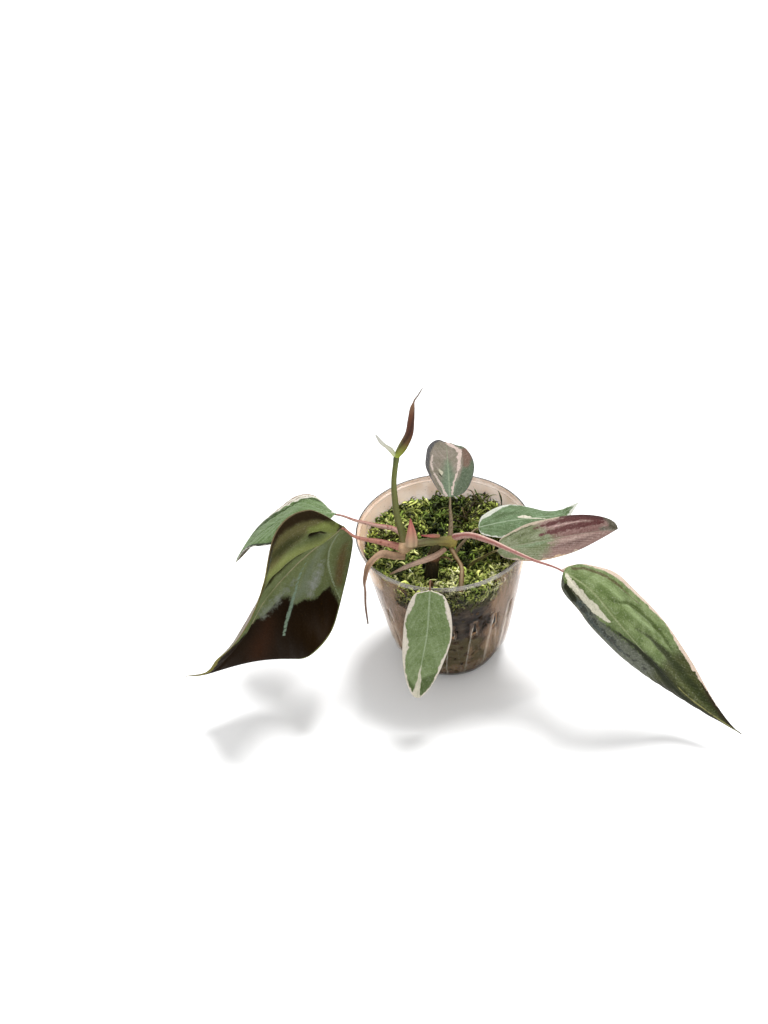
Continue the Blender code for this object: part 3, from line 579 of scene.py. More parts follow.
# Each clump or hollow is its x and y, its size, and its gain in height and in brightness; the brightness is
# painted light on the clumps above zero and painted shade in the hollows below it.
CLUMPS_LIT_AND_SHADED = ((0.0111, 0.0253, 0.007, -0.26), (-0.0307, 0.0051, 0.005, -0.20), (-0.0226, -0.0142, 0.004, -0.30),
          (0.0100, -0.0035, 0.005, -0.34), (-0.0093, -0.0133, 0.004, -0.34), (0.0166, -0.0200, 0.004, -0.22),
          (-0.0020, 0.0112, 0.007, -0.24), (-0.0124, 0.0290, 0.008, 0.20), (0.0170, -0.0075, 0.004, 0.34),
          (0.0021, -0.0205, 0.005, 0.26), (-0.0164, -0.0170, 0.004, 0.30), (0.0213, 0.0052, 0.006, 0.28),
          (-0.0263, 0.0181, 0.006, 0.16), (-0.0170, 0.0120, 0.006, 0.14))


def clumping(x, y):
    """Sum of round clumps above zero and of hollows below it, each falling off as a bell curve."""
    return sum(gain * np.exp(-((x - x0) ** 2 + (y - y0) ** 2) / size ** 2) for x0, y0, size, gain in CLUMPS_LIT_AND_SHADED)


def moss_top(x, y):
    """Height of the moss: a bank at the front wall, soft tufts, and two taller ones at the back."""
    radius = np.hypot(x, y)
    forward = -y / np.maximum(radius, 0.001)
    bank = np.clip((radius - 0.022) / 0.013, 0.0, 1.0) ** 1.5 * (0.65 + 0.35 * forward)
    tufts = np.sin(610 * x + 1.3) * np.sin(560 * y + 0.4) + 0.7 * np.sin(980 * x + 730 * y)
    tall = 0.0042 * np.exp(-((x + 0.016) / 0.011) ** 2 - ((y - 0.015) / 0.010) ** 2)
    tall = tall + 0.0046 * np.exp(-((x - 0.018) / 0.010) ** 2 - ((y - 0.014) / 0.011) ** 2)
    return MOSS_HEIGHT + MOSS_BANK * bank + MOSS_BUMP * tufts + tall + 0.004 * clumping(x, y)


def moss_bed():
    """The dark body of the moss: flat below, its side along the wall, and a top of fine lumps."""
    turn = np.linspace(0.0, 2 * np.pi, 160, endpoint=False)
    low = SOIL_TOP + 0.0003
    side_z = np.linspace(low, MOSS_HEIGHT, 8)
    side = pot_radius(side_z) - MOSS_WALL_GAP
    top = np.linspace(0.0355, 0.0015, 44)
    radius = np.concatenate([np.linspace(0.004, side[0], 6)[:-1], side, top])
    x = radius[:, None] * np.cos(turn)
    y = radius[:, None] * np.sin(turn)
    height = np.concatenate([np.full(5, low), side_z, np.full(len(top), MOSS_HEIGHT)])
    z = np.broadcast_to(height[:, None], x.shape).copy()
    points = np.stack([x, y, z], -1)
    lumps = 0.0006 * soft_noise(points, 0.0022, 31)
    points[13:, :, 2] = moss_top(x[13:], y[13:]) - BED_DROP + lumps[13:]
    rows, columns = x.shape
    ends = np.array([[0.0, 0.0, low], [0.0, 0.0, moss_top(0.0, 0.0) - BED_DROP]])
    count = rows * columns
    return np.concatenate([points.reshape(-1, 3), ends]), [
        ring_faces(rows, columns), end_fans(rows, columns, count, count + 1)]


moss_dark, tree, shader = new_finish("moss_bed", 0.9)
place = object_place(tree)
lumps = cloudy(tree, place, 420.0, 5.0, 0.7)
wide = cloudy(tree, place, 90.0, 2.0)
bed_height = add_node(tree, "ShaderNodeSeparateXYZ", {"Vector": place}).outputs["Z"]
bed_height = reckon(tree, "MULTIPLY_ADD", wide, 0.006, bed_height)
bed_layers = (
    (ramp(tree, lumps, 0.4, 0.68), tone(96, 110, 36)), (ramp(tree, wide, 0.48, 0.7), tone(150, 150, 76)),
    (ramp(tree, lumps, 0.54, 0.42), tone(24, 24, 10)),
    (ramp(tree, bed_height, 0.0655, 0.0615, 0.0, 0.8), tone(58, 46, 32)))
tree.links.new(painted(tree, tone(26, 30, 10), bed_layers), shader.inputs["Base Color"])
raise_bumps(tree, shader, lumps, 0.0008, 1.0)
points, faces = moss_bed()
bed = add_piece("moss_bed", points, faces, [moss_dark])
declare(bed, "live_moss", "moss")


def curled_strands(base, axis, out, length, width, start, curl, twist, rings):
    """Closed three-sided strands, all at once, as points, quads and triangles.

    The heading of a strand at t is cos(a) along its axis and sin(a) outward, where a goes from
    start by curl, and the outward direction turns about the axis by twist. The place is the running
    sum of the headings. The radius swells to the middle, with two small knobs, and falls to the tip.
    """
    count = len(base)
    t = np.linspace(0.0, 1.0, rings + 1)
    side = np.cross(axis, out)
    angle = start[:, None] + curl[:, None] * t
    turned = twist[:, None] * t
    away = np.cos(turned)[..., None] * out[:, None] + np.sin(turned)[..., None] * side[:, None]
    heading = np.cos(angle)[..., None] * axis[:, None] + np.sin(angle)[..., None] * away
    step = (length / rings)[:, None, None] * heading
    middle = base[:, None] + np.cumsum(step, axis=1) - step[:, :1]
    across = unit(np.cross(heading, away + 0.3 * axis[:, None] + 1e-6))
    lift = np.cross(across, heading)
    girth = np.sin(np.pi * (0.12 + 0.8 * t)) ** 0.6 * (1 + 0.3 * np.sin(11 * t + 2 * twist[:, None]))
    radius = (width / 2)[:, None] * girth
    corners = 2 * np.pi * np.arange(3) / 3
    ring = middle[:, :-1, None] + radius[:, :-1, None, None] * (
        np.cos(corners)[:, None] * across[:, :-1, None] + np.sin(corners)[:, None] * lift[:, :-1, None])
    points = np.concatenate([ring.reshape(count, 3 * rings, 3), middle[:, -1:]], 1)
    first = (3 * rings + 1) * np.arange(count)[:, None, None]
    quads = ring_faces(rings, 3)[None, :, ::-1] + first
    last = 3 * (rings - 1)
    tip = last + 3
    caps = np.array([(0, 1, 2), (last + 1, last, tip), (last + 2, last + 1, tip), (last, last + 2, tip)])
    return points, quads.reshape(-1, 4), (caps[None] + first).reshape(-1, 3)


def keep_inside(points):
    """Points drawn in where they would come too near the pot's wall."""
    wall = pot_radius(points[..., 2]) - POT_WALL - WALL_CLEARANCE
    far = np.hypot(points[..., 0], points[..., 1])
    points[..., :2] *= np.minimum(1.0, wall / np.maximum(far, 1e-6))[..., None]
    return points


def moss_seats(draw, count):
    """Random places on the moss and the direction that stands out of it there."""
    radius = MOSS_REACH * np.sqrt(draw.random(count))
    turn = draw.uniform(0, 2 * np.pi, count)
    x, y = radius * np.cos(turn), radius * np.sin(turn)
    step = 0.0004
    slope_x = (moss_top(x + step, y) - moss_top(x - step, y)) / (2 * step)
    slope_y = (moss_top(x, y + step) - moss_top(x, y - step)) / (2 * step)
    axis = np.stack([-0.7 * slope_x, -0.7 * slope_y, np.ones(count)], -1)
    axis = unit(axis + draw.normal(0, 0.35, (count, 3)))
    return np.stack([x, y, moss_top(x, y) - BED_DROP], -1), axis


def moss_green_and_light(seat, draw):
    """Each strand's green with painted light: lime as painted sunlight in patches, at the front and right,
    deep green as painted shade elsewhere.

    The place gives a share from 0 to 1 along MOSS_GREENS_SHADED_TO_LIT, shaken for each strand, and its
    brightness, a painted light and shade, follows the clumps and a finer noise.
    """
    x, y = seat[:, 0], seat[:, 1]
    forward = np.clip((-y - 0.014) / 0.018, 0, 1) + 0.8 * np.clip((x - 0.005) / 0.03, 0, 1)
    left = 0.35 * np.exp(-((x + 0.024) / 0.010) ** 2 - ((y - 0.004) / 0.012) ** 2)
    clump_light_and_shade = clumping(x, y)
    tone_and_light_share = soft_noise(seat, 0.016, 43) * 0.14 + 0.40 * forward + left + clump_light_and_shade
    tone_and_light_share = tone_and_light_share + draw.normal(0.30, 0.17, len(seat))
    painted_light_gain = np.clip(0.95 + 0.65 * soft_noise(seat, 0.0060, 45) + 1.2 * clump_light_and_shade + 0.15 * forward, 0.2, 1.6)
    choice = (np.clip(tone_and_light_share, 0.0, 0.999) * len(MOSS_GREENS_SHADED_TO_LIT)).astype(int)
    return MOSS_GREENS_SHADED_TO_LIT[choice] * painted_light_gain[:, None] * 1.45


draw = np.random.default_rng(44)
seat, axis = moss_seats(draw, STRAND_COUNT)
along_wall = draw.uniform(-2.9, -0.1, WALL_STRANDS)
wall_z = draw.uniform(0.0578, 0.0668, WALL_STRANDS)
wall_out = pot_radius(wall_z) - POT_WALL - 0.0009
wall_seat = np.stack([wall_out * np.cos(along_wall), wall_out * np.sin(along_wall), wall_z], -1)
wall_axis = unit(draw.normal(0, 1.0, (WALL_STRANDS, 3)) + np.array([0.0, 0.0, 0.9]))
seat = np.concatenate([seat, wall_seat])
axis = np.concatenate([axis, wall_axis])
total = len(seat)
out = unit(np.cross(axis, unit(draw.normal(size=(total, 3)))))
length = draw.uniform(0.0042, 0.0088, total)
width = draw.uniform(0.00060, 0.00112, total)
start = draw.uniform(-0.2, 0.5, total)
curl = draw.normal(4.2, 1.2, total)
twist = draw.normal(0.0, 2.2, total)
points, quads, triangles = curled_strands(
    seat - 0.0003 * axis, axis, out, length, width, start, curl, twist, rings=10)
points = keep_inside(points)
strand_shade = np.clip(0.35 + 0.65 * (points[..., 2] - seat[:, None, 2]) / 0.0016, 0.18, 1.3)
wall_shade = np.clip((wall_z - 0.0580) / 0.005, 0.15, 1.0) * draw.uniform(0.5, 1.3, WALL_STRANDS)
strand_shade[STRAND_COUNT:] = wall_shade[:, None]
strand_colours = moss_green_and_light(seat, draw)[:, None]
strand_colours = strand_colours * (strand_shade * draw.uniform(0.75, 1.2, (total, 1)))[..., None]
moss_leaf = tinted_finish("moss_leaflet", 0.5, 1500.0, 0.8, 0.0001)
strands = add_piece("moss_strands", points.reshape(-1, 3), [quads, triangles], [moss_leaf],
                    {"tint": np.clip(strand_colours, 0, 1).reshape(-1, 3)})
declare(strands, "live_moss")


def moss_leaflets(draw):
    """Every leaflet of every whorl, as arrays.

    A leaflet's middle line is an arc: it leaves the whorl's axis at a start angle and bends by its
    curl on the way to the tip. Its section is a flat triangle that narrows to a point.
    """
    root, axis = moss_seats(draw, WHORL_COUNT)
    root = root + draw.uniform(-0.0008, 0.0014, WHORL_COUNT)[:, None] * np.array([0.0, 0.0, 1.0])
    size = draw.uniform(0.75, 1.35, WHORL_COUNT)
    total = WHORL_COUNT * LEAFLETS
    whorl = np.repeat(np.arange(WHORL_COUNT), LEAFLETS)
    order = np.tile(np.arange(LEAFLETS), WHORL_COUNT) / LEAFLETS
    first = unit(np.cross(axis, np.array([0.3, 0.5, 0.81])))
    second = np.cross(axis, first)
    spin = order * LEAFLETS * 2.4 + draw.uniform(0, 2 * np.pi, WHORL_COUNT)[whorl]
    spin = spin + draw.normal(0, 0.3, total)
    out = np.cos(spin)[:, None] * first[whorl] + np.sin(spin)[:, None] * second[whorl]
    up = axis[whorl]
    side = np.cross(up, out)
    length = size[whorl] * draw.uniform(0.0022, 0.0038, total)
    width = size[whorl] * draw.uniform(0.00036, 0.00064, total)
    start = draw.normal(0.5, 0.25, total) + 0.9 * order
    curl = draw.normal(-2.0, 0.7, total)
    base = root[whorl] + up * (order * 0.0011 * size[whorl])[:, None]
    t = np.array([0.0, 0.35, 0.7, 1.0])[None]
    angle = start[:, None] + curl[:, None] * t
    run = (np.sin(angle) - np.sin(start)[:, None]) / curl[:, None] * length[:, None]
    lift = (np.cos(start)[:, None] - np.cos(angle)) / curl[:, None] * length[:, None]
    middle = base[:, None] + run[..., None] * out[:, None] + lift[..., None] * up[:, None]
    across = np.array([0.75, 1.0, 0.65])
    face = np.cos(angle)[..., None] * up[:, None] - np.sin(angle)[..., None] * out[:, None]
    reach = (width[:, None] * across)[..., None] * side[:, None]
    keel = 0.35 * (width[:, None] * across)[..., None] * face[:, :3]
    ring = np.stack([middle[:, :3] + reach, middle[:, :3] + keel, middle[:, :3] - reach], 2)
    points = keep_inside(np.concatenate([ring.reshape(total, 9, 3), middle[:, 3:]], 1))
    cell = np.array([(0, 1, 4, 3), (1, 2, 5, 4), (2, 0, 3, 5), (3, 4, 7, 6), (4, 5, 8, 7), (5, 3, 6, 8)])
    tips = np.array([(6, 7, 9), (7, 8, 9), (8, 6, 9), (2, 1, 0)])
    first_point = 10 * np.arange(total)[:, None, None]
    quads = (cell[None] + first_point).reshape(-1, 4)
    triangles = (tips[None] + first_point).reshape(-1, 3)
    part = np.array([0.35, 0.35, 0.35, 0.85, 0.95, 0.85, 1.1, 1.2, 1.1, 1.35])
    part = part * draw.uniform(0.7, 1.2, (total, 1))
    shade = np.clip(0.55 + 0.45 * (points[..., 2] - root[whorl][:, 2:3]) / 0.0016, 0.3, 1.15)
    colours = moss_green_and_light(root, draw)[whorl][:, None] * (part * shade)[..., None]
    return points.reshape(-1, 3), [quads, triangles], np.clip(colours, 0, 1).reshape(-1, 3)


points, faces, colours = moss_leaflets(np.random.default_rng(41))
leaflets = add_piece("moss_leaflets", points, faces, [moss_leaf], {"tint": colours})
declare(leaflets, "live_moss")

draw = np.random.default_rng(47)
x = draw.normal(0.0175, 0.0070, RUNNER_COUNT)
y = draw.normal(0.0160, 0.0065, RUNNER_COUNT)
x[RIGHT_RUNNERS:] = draw.normal(-0.0270, 0.0030, RUNNER_COUNT - RIGHT_RUNNERS)
y[RIGHT_RUNNERS:] = draw.normal(0.0080, 0.0060, RUNNER_COUNT - RIGHT_RUNNERS)
curl_seat, curl_axis = moss_seats(draw, CURL_COUNT)
runner_seat = np.stack([x, y, moss_top(x, y) - 0.0010], -1)
seat = np.concatenate([runner_seat, curl_seat + np.array([0.0, 0.0, 0.0012])])
lean_x = draw.normal(0.0, 0.4, RUNNER_COUNT)
lean_y = draw.normal(0.0, 0.4, RUNNER_COUNT)
axis = unit(np.concatenate([np.stack([lean_x, lean_y, np.ones(RUNNER_COUNT)], -1), curl_axis]))
total = RUNNER_COUNT + CURL_COUNT
out = unit(np.cross(axis, unit(draw.normal(size=(total, 3)))))
length = np.append(draw.uniform(0.0070, 0.0155, RUNNER_COUNT), draw.uniform(0.0060, 0.0110, CURL_COUNT))
width = np.append(draw.uniform(0.0006, 0.0011, RUNNER_COUNT), draw.uniform(0.0009, 0.0015, CURL_COUNT))
curl = np.append(draw.normal(2.6, 0.9, RUNNER_COUNT), draw.normal(4.6, 1.3, CURL_COUNT))
start = draw.uniform(-0.3, 0.5, total)
twist = draw.normal(0.0, 2.0, total)
points, quads, triangles = curled_strands(seat, axis, out, length, width, start, curl, twist, rings=16)
points = keep_inside(points)
runner_colours = RUNNER_TONES[draw.integers(0, len(RUNNER_TONES), RUNNER_COUNT)]
curl_colours = moss_green_and_light(curl_seat, draw) * draw.uniform(0.8, 1.3, (CURL_COUNT, 1))
colours = np.concatenate([runner_colours, curl_colours])[:, None]
colours = colours * np.linspace(0.55, 1.3, points.shape[1])[:, None]
runners = add_piece("moss_runners", points.reshape(-1, 3), [quads, triangles], [moss_leaf],
                    {"tint": np.clip(colours, 0, 1).reshape(-1, 3)})
declare(runners, "live_moss")

# Stems
# One living stem: a dark ridged old length with a reddish ring rises out of the moss, bears a level
# green internode between two swollen nodes, and the left node carries the new upright shoot.
CURVE_SAMPLES = 300
OLD_STEM_PATH = ((-0.0085, -0.0212, 0.0500), (-0.0088, -0.0206, 0.0620), (-0.0065, -0.0183, 0.0755),
                 (-0.0048, -0.0172, 0.0820))
INTERNODE_PATH = ((0.0024, -0.0166, 0.0813), (-0.0020, -0.0170, 0.0824), (-0.0080, -0.0172, 0.0832),
                  (-0.0140, -0.0172, 0.0830), (-0.0196, -0.0172, 0.0815))
SHOOT_PATH = ((-0.0184, -0.0165, 0.0812), (-0.0191, -0.0142, 0.0874), (-0.0202, -0.0135, 0.0945),
              (-0.0205, -0.0130, 0.1050), (-0.0200, -0.0130, 0.1156), (-0.0187, -0.0130, 0.1231),
              (-0.0178, -0.0130, 0.1276))


def smooth_path(points, count):
    """Evenly spaced points along a cubic that runs through the given points."""
    points = np.array(points, float)
    spans = np.linalg.norm(np.diff(points, axis=0), axis=1)
    knots = np.concatenate([[0.0], np.cumsum(spans)])
    slopes = np.gradient(points, knots, axis=0)
    dense = np.linspace(0.0, knots[-1], CURVE_SAMPLES)
    piece = np.clip(np.searchsorted(knots, dense, side="right") - 1, 0, len(points) - 2)
    span = spans[piece][:, None]
    t = (dense - knots[piece])[:, None] / span
    curve = (1 + 2 * t) * (1 - t) ** 2 * points[piece] + t * (1 - t) ** 2 * span * slopes[piece]
    curve += t * t * (3 - 2 * t) * points[piece + 1] + t * t * (t - 1) * span * slopes[piece + 1]
    steps = np.linalg.norm(np.diff(curve, axis=0), axis=1)
    run = np.concatenate([[0.0], np.cumsum(steps)])
    wanted = np.linspace(0.0, run[-1], count)
    return np.stack([np.interp(wanted, run, curve[:, axis]) for axis in range(3)], -1)


def spread(values, u):
    """Values given at even steps from start to end, read at each u from 0 to 1."""
    return np.interp(u, np.linspace(0.0, 1.0, len(values)), values)


def stem_mesh(points, widths, thicknesses, rings, sides, facing, swell):
    """An oval section carried along a smooth path, with rounded ends.

    The radius is half the width or thickness there, times swell(t, turn). At both ends four more
    rings shrink as a quarter circle does, down to one point.
    """
    path = smooth_path(points, rings)
    tangent = unit(np.gradient(path, axis=0))
    side = unit(np.cross(tangent, facing))
    up = np.cross(side, tangent)
    t = np.linspace(0.0, 1.0, rings)
    half_width = spread(widths, t) / 2
    half_thick = spread(thicknesses, t) / 2
    lean = np.radians([82.0, 62.0, 40.0, 20.0])
    pick = np.concatenate([np.zeros(4, int), np.arange(rings), np.full(4, rings - 1)])
    shrink = np.concatenate([np.cos(lean), np.ones(rings), np.cos(lean[::-1])])
    push = np.concatenate([-np.sin(lean), np.zeros(rings), np.sin(lean[::-1])]) * half_thick[pick] * 0.8
    turn = np.linspace(0.0, 2 * np.pi, sides, endpoint=False)
    scale = swell(t[pick][:, None], turn[None]) * shrink[:, None]
    centre = path[pick] + push[:, None] * tangent[pick]
    sideways = scale * half_width[pick][:, None] * np.cos(turn)
    upward = scale * half_thick[pick][:, None] * np.sin(turn)
    ring = centre[:, None] + sideways[..., None] * side[pick][:, None]
    ring = ring + upward[..., None] * up[pick][:, None]
    tips = np.stack([path[0] - 0.8 * half_thick[0] * tangent[0],
                     path[-1] + 0.8 * half_thick[-1] * tangent[-1]])
    count = len(pick)
    fans = end_fans(count, sides, count * sides, count * sides + 1)
    faces = [ring_faces(count, sides)[:, ::-1], fans[:, ::-1]]
    all_t = np.append(np.repeat(t[pick], sides), (0.0, 1.0))
    all_turn = np.append(np.tile(turn, count), (0.0, 0.0))
    return np.concatenate([ring.reshape(-1, 3), tips]), faces, all_t, all_turn


def plain_swell(t, turn):
    """No change of radius."""
    return np.ones_like(t * turn)


def stem_piece(name, points, widths, finish, tint, thicknesses=None, rings=60, sides=20,
               facing=(0.0, 0.0, 1.0), swell=plain_swell):
    """A stem_mesh as an object, with its colour at each point from tint(t, turn, place)."""
    shape = stem_mesh(points, widths, thicknesses or widths, rings, sides, facing, swell)
    mesh_points, faces, t, turn = shape
    return add_piece(name, mesh_points, faces, [finish], {"tint": tint(t, turn, mesh_points)})


def grade(stops, t):
    """A colour read along a list of colours at even steps."""
    table = np.array(stops)[:, :3]
    return np.stack([spread(table[:, channel], t) for channel in range(3)], -1)


def stained(colour, share, stain):
    """Colours mixed with one stain colour by a share at each point."""
    share = share[:, None]
    return colour * (1 - share) + np.array(stain)[:3] * share


def stripe(turn, count, phase, sharp):
    """Values from 0 to 1 that peak on count lines along a stem, the narrower the sharper."""
    return (0.5 + 0.5 * np.cos(count * turn + phase)) ** sharp


def old_stem_swell(t, turn):
    """Ridges along the stem, and a ring that stands out near the top."""
    ring = np.exp(-((t - 0.79) / 0.035) ** 2) - 0.5 * np.exp(-((t - 0.72) / 0.02) ** 2)
    return 1 + 0.05 * np.cos(9 * turn + 3 * t) + 0.03 * np.cos(17 * turn + 5 * t) + 0.12 * ring


def old_stem_tint(t, turn, place):
    """Brown-black with lighter ridges, a reddish ring, and green above it."""
    colour = grade([tone(30, 27, 12), tone(38, 34, 16), tone(44, 38, 18), tone(70, 56, 32),
                    tone(96, 88, 52)], t)
    ridge = stripe(turn, 9, 0.0, 2.0)[:, None] * (0.5 + 0.5 * soft_noise(place, 0.004, 52)[:, None])
    colour = colour * (0.75 + 0.9 * np.clip(ridge, 0, 1))
    return stained(colour, np.exp(-((t - 0.79) / 0.035) ** 2), tone(150, 104, 78))


def internode_swell(t, turn):
    """Swollen nodes at both ends and a faint waist between them."""
    ends = 0.16 * np.exp(-((t - 0.05) / 0.06) ** 2) + 0.10 * np.exp(-((t - 0.95) / 0.07) ** 2)
    return 1 + ends + 0.025 * np.cos(5 * turn) + 0.02 * np.cos(11 * turn + 4 * t)


def internode_tint(t, turn, place):
    """Olive green with brown stripes, yellower at the right node and peach at the left one."""
    colour = grade([tone(168, 152, 78), tone(150, 138, 78), tone(134, 132, 82), tone(134, 128, 88),
                    tone(160, 142, 104), tone(204, 168, 132)], t)
    brown = stripe(turn, 6, 0.7, 3.0) * np.clip(1.2 * np.sin(np.pi * t), 0, 1)
    brown = 0.65 * brown * (0.6 + 0.4 * soft_noise(place, 0.006, 54))
    return stained(colour, np.clip(brown, 0, 1), tone(98, 70, 44))


def shoot_swell(t, turn):
    """A slim stem with a shallow channel along it and a swollen node at its top."""
    return 1 + 0.14 * np.exp(-((t - 0.97) / 0.03) ** 2) - 0.05 * stripe(turn, 1, -1.2, 6.0)


def shoot_tint(t, turn, place):
    """Olive green, paler on one side, tan at its foot and dark green at the node on top."""
    colour = grade([tone(150, 136, 92), tone(100, 98, 48), tone(96, 96, 42), tone(100, 100, 44),
                    tone(98, 100, 42), tone(100, 104, 40), tone(66, 76, 18)], t)
    return stained(colour, 0.4 * stripe(turn, 1, 2.2, 5.0), tone(150, 158, 96))


stem_skin = tinted_finish("stem_skin", 0.42, 2200.0, 0.82, 0.00008)
old_bark = tinted_finish("old_bark", 0.7, 1500.0, 0.55, 0.00025)
old_stem = stem_piece(
    "old_stem", OLD_STEM_PATH, (0.0060, 0.0062, 0.0056, 0.0040), old_bark, old_stem_tint,
    rings=90, sides=36, facing=(0.0, 1.0, 0.0), swell=old_stem_swell)
internode = stem_piece(
    "internode", INTERNODE_PATH, (0.0050, 0.0040, 0.0034, 0.0033, 0.0052), stem_skin, internode_tint,
    rings=80, sides=36, swell=internode_swell)
new_shoot = stem_piece(
    "new_shoot", SHOOT_PATH, (0.0036, 0.0030, 0.0027, 0.0023, 0.0023), stem_skin, shoot_tint,
    rings=110, sides=28, facing=(0.0, 1.0, 0.0), swell=shoot_swell)
for part in (old_stem, internode, new_shoot):
    declare(part, "stem_green", "vine")

# Rolled new leaf and its sheath
# The next blade stands rolled up on the shoot, lime at its foot and maroon above, with a long dry
# tip, and beside it the sheath that held it hangs back, thin and white.
FURLED_PATH = ((-0.0177, -0.0130, 0.1278), (-0.0144, -0.0135, 0.1333), (-0.0120, -0.0140, 0.1385),
               (-0.0108, -0.0140, 0.1445), (-0.0095, -0.0145, 0.1515), (-0.0088, -0.0145, 0.1535),
               (-0.0073, -0.0145, 0.1555), (-0.0054, -0.0150, 0.1588))
FURLED_WIDTHS = (0.0025, 0.0034, 0.0038, 0.0037, 0.0035, 0.0033, 0.0031, 0.0029, 0.0026, 0.0023, 0.0019,
                 0.0008, 0.0007, 0.0006, 0.0004)
FURL_SHEATH_PATH = ((-0.0184, -0.0132, 0.1278), (-0.0206, -0.0140, 0.1326), (-0.0228, -0.0150, 0.1356),
                    (-0.0251, -0.0160, 0.1409))


def roll_seam(t, turn):
    """Angle round from the roll's outer edge, which winds slowly as it climbs."""
    return np.mod(turn + 1.2 * t * np.pi, 2 * np.pi)


def furl_swell(t, turn):
    """The roll's outer edge as a step in radius, gone towards the tip."""
    return 1 + 0.16 * (roll_seam(t, turn) / (2 * np.pi) - 0.5) * np.clip(4 * (0.85 - t), 0, 1)


def furl_tint(t, turn, place):
    """Lime, then olive, then maroon brown, and a grey thread at the tip, with a dark line painted as shade
    along the step of the roll's outer edge.
    """
    colour = grade([tone(156, 172, 58), tone(132, 134, 50), tone(104, 74, 34), tone(92, 48, 20),
                    tone(94, 48, 22), tone(110, 62, 34), tone(140, 104, 76), tone(150, 138, 130),
                    tone(160, 152, 146)], t)
    return colour * (1 - 0.5 * stripe(roll_seam(t, turn), 1, 0.0, 20.0)[:, None])


furled = stem_piece(
    "furled_leaf_roll", FURLED_PATH, FURLED_WIDTHS, stem_skin, furl_tint,
    rings=110, sides=32, facing=(0.0, 1.0, 0.0), swell=furl_swell)
declare(furled, "furled_maroon", "furled_leaf")


def sheath_tint(stops, streaks, share):
    """A tint function for a dry sheath: colours along it, and darker streaks that run with it."""
    def tint(t, turn, place):
        dark = (share * stripe(turn, streaks, 0.4, 2.0))[:, None]
        return grade(stops, t) * (1 - dark)
    return tint


thin_sheath = tinted_finish("thin_sheath", 0.35, 1800.0, 0.92, 0.00005)
dry_sheath = tinted_finish("dry_sheath", 0.6, 1400.0, 0.78, 0.00012)
FURL_SHEATH_TONES = [tone(196, 206, 140), tone(214, 214, 190), tone(216, 215, 200), tone(206, 205, 196)]
furl_sheath = stem_piece(
    "furl_sheath_strap", FURL_SHEATH_PATH, (0.0018, 0.0030, 0.0023, 0.0008), thin_sheath,
    sheath_tint(FURL_SHEATH_TONES, 5, 0.14), thicknesses=(0.0012, 0.0012, 0.0008, 0.0004),
    rings=50, sides=20, facing=(0.0, 0.6, 0.8))
declare(furl_sheath, "sheath_white", "furl_sheath")

# Older sheaths, bud and roots
# At the left node a salmon sheath stands up to a point and a withered one hangs over the rim, down
# outside the pot; under the right node lie a dry pointed sheath and two roots, and a bud on top.
NODE_SHEATH_PATH = ((-0.0158, -0.0192, 0.0840), (-0.0152, -0.0175, 0.0890), (-0.0149, -0.0145, 0.0950))
POINTED_SHEATH_PATH = ((-0.0016, -0.0198, 0.0802), (-0.0056, -0.0219, 0.0792), (-0.0110, -0.0226, 0.0778),
                       (-0.0172, -0.0215, 0.0750), (-0.0265, -0.0208, 0.0705))
WITHERED_SHEATH_PATH = ((-0.0192, -0.0190, 0.0785), (-0.0235, -0.0184, 0.0788), (-0.0290, -0.0190, 0.0812),
                        (-0.0350, -0.0235, 0.0800), (-0.0375, -0.0240, 0.0730), (-0.0385, -0.0190, 0.0600),
                        (-0.0396, -0.0140, 0.0460), (-0.0400, -0.0100, 0.0300))
SIDE_BUD_PATH = ((-0.0035, -0.0165, 0.0853), (-0.0075, -0.0165, 0.0860), (-0.0110, -0.0165, 0.0868))
LONG_ROOT_PATH = ((0.0012, -0.0182, 0.0790), (0.0026, -0.0226, 0.0777), (0.0043, -0.0274, 0.0760),
                  (0.0035, -0.0330, 0.0738), (0.0026, -0.0351, 0.0705), (0.0020, -0.0347, 0.0650),
                  (0.0014, -0.0336, 0.0590))
SHORT_ROOT_PATH = ((-0.0045, -0.0190, 0.0752), (-0.0010, -0.0205, 0.0757), (0.0012, -0.0225, 0.0750))


def root_swell(t, turn):
    """Knobs along a root where side roots never grew out."""
    return 1 + 0.10 * np.sin(19 * t) * np.sin(31 * t + 1.0) + 0.04 * np.cos(4 * turn + 9 * t)


def root_tint(t, turn, place):
    """Brown with pale edges."""
    colour = grade([tone(150, 118, 80), tone(118, 88, 52), tone(106, 78, 46), tone(140, 112, 76),
                    tone(160, 138, 104)], t)
    return stained(colour, 0.55 * stripe(turn, 2, 0.3, 2.5), tone(196, 172, 136))


def bud_tint(t, turn, place):
    """Pink-red, darker at its point."""
    return grade([tone(190, 142, 106), tone(206, 134, 118), tone(204, 116, 108), tone(170, 84, 78)], t)


node_sheath = stem_piece(
    "node_sheath_hood", NODE_SHEATH_PATH, (0.0052, 0.0053, 0.0040, 0.0023, 0.0006), thin_sheath,
    sheath_tint([tone(206, 178, 142), tone(208, 168, 138), tone(206, 148, 126), tone(206, 128, 116),
                 tone(180, 100, 92)], 5, 0.32),
    thicknesses=(0.0020, 0.0018, 0.0013, 0.0009, 0.0005), rings=60, sides=28, facing=(0.0, -1.0, 0.0))
declare(node_sheath, "sheath_pink", "node_sheath")
pointed_sheath = stem_piece(
    "pointed_sheath_strap", POINTED_SHEATH_PATH, (0.0026, 0.0036, 0.0032, 0.0026, 0.0007), dry_sheath,
    sheath_tint([tone(176, 140, 116), tone(200, 166, 144), tone(212, 180, 158), tone(212, 184, 162),
                 tone(170, 140, 112)], 5, 0.3),
    thicknesses=(0.0014, 0.0016, 0.0014, 0.0012, 0.0006), rings=70, sides=24)
declare(pointed_sheath, "sheath_dry", "pointed_sheath")
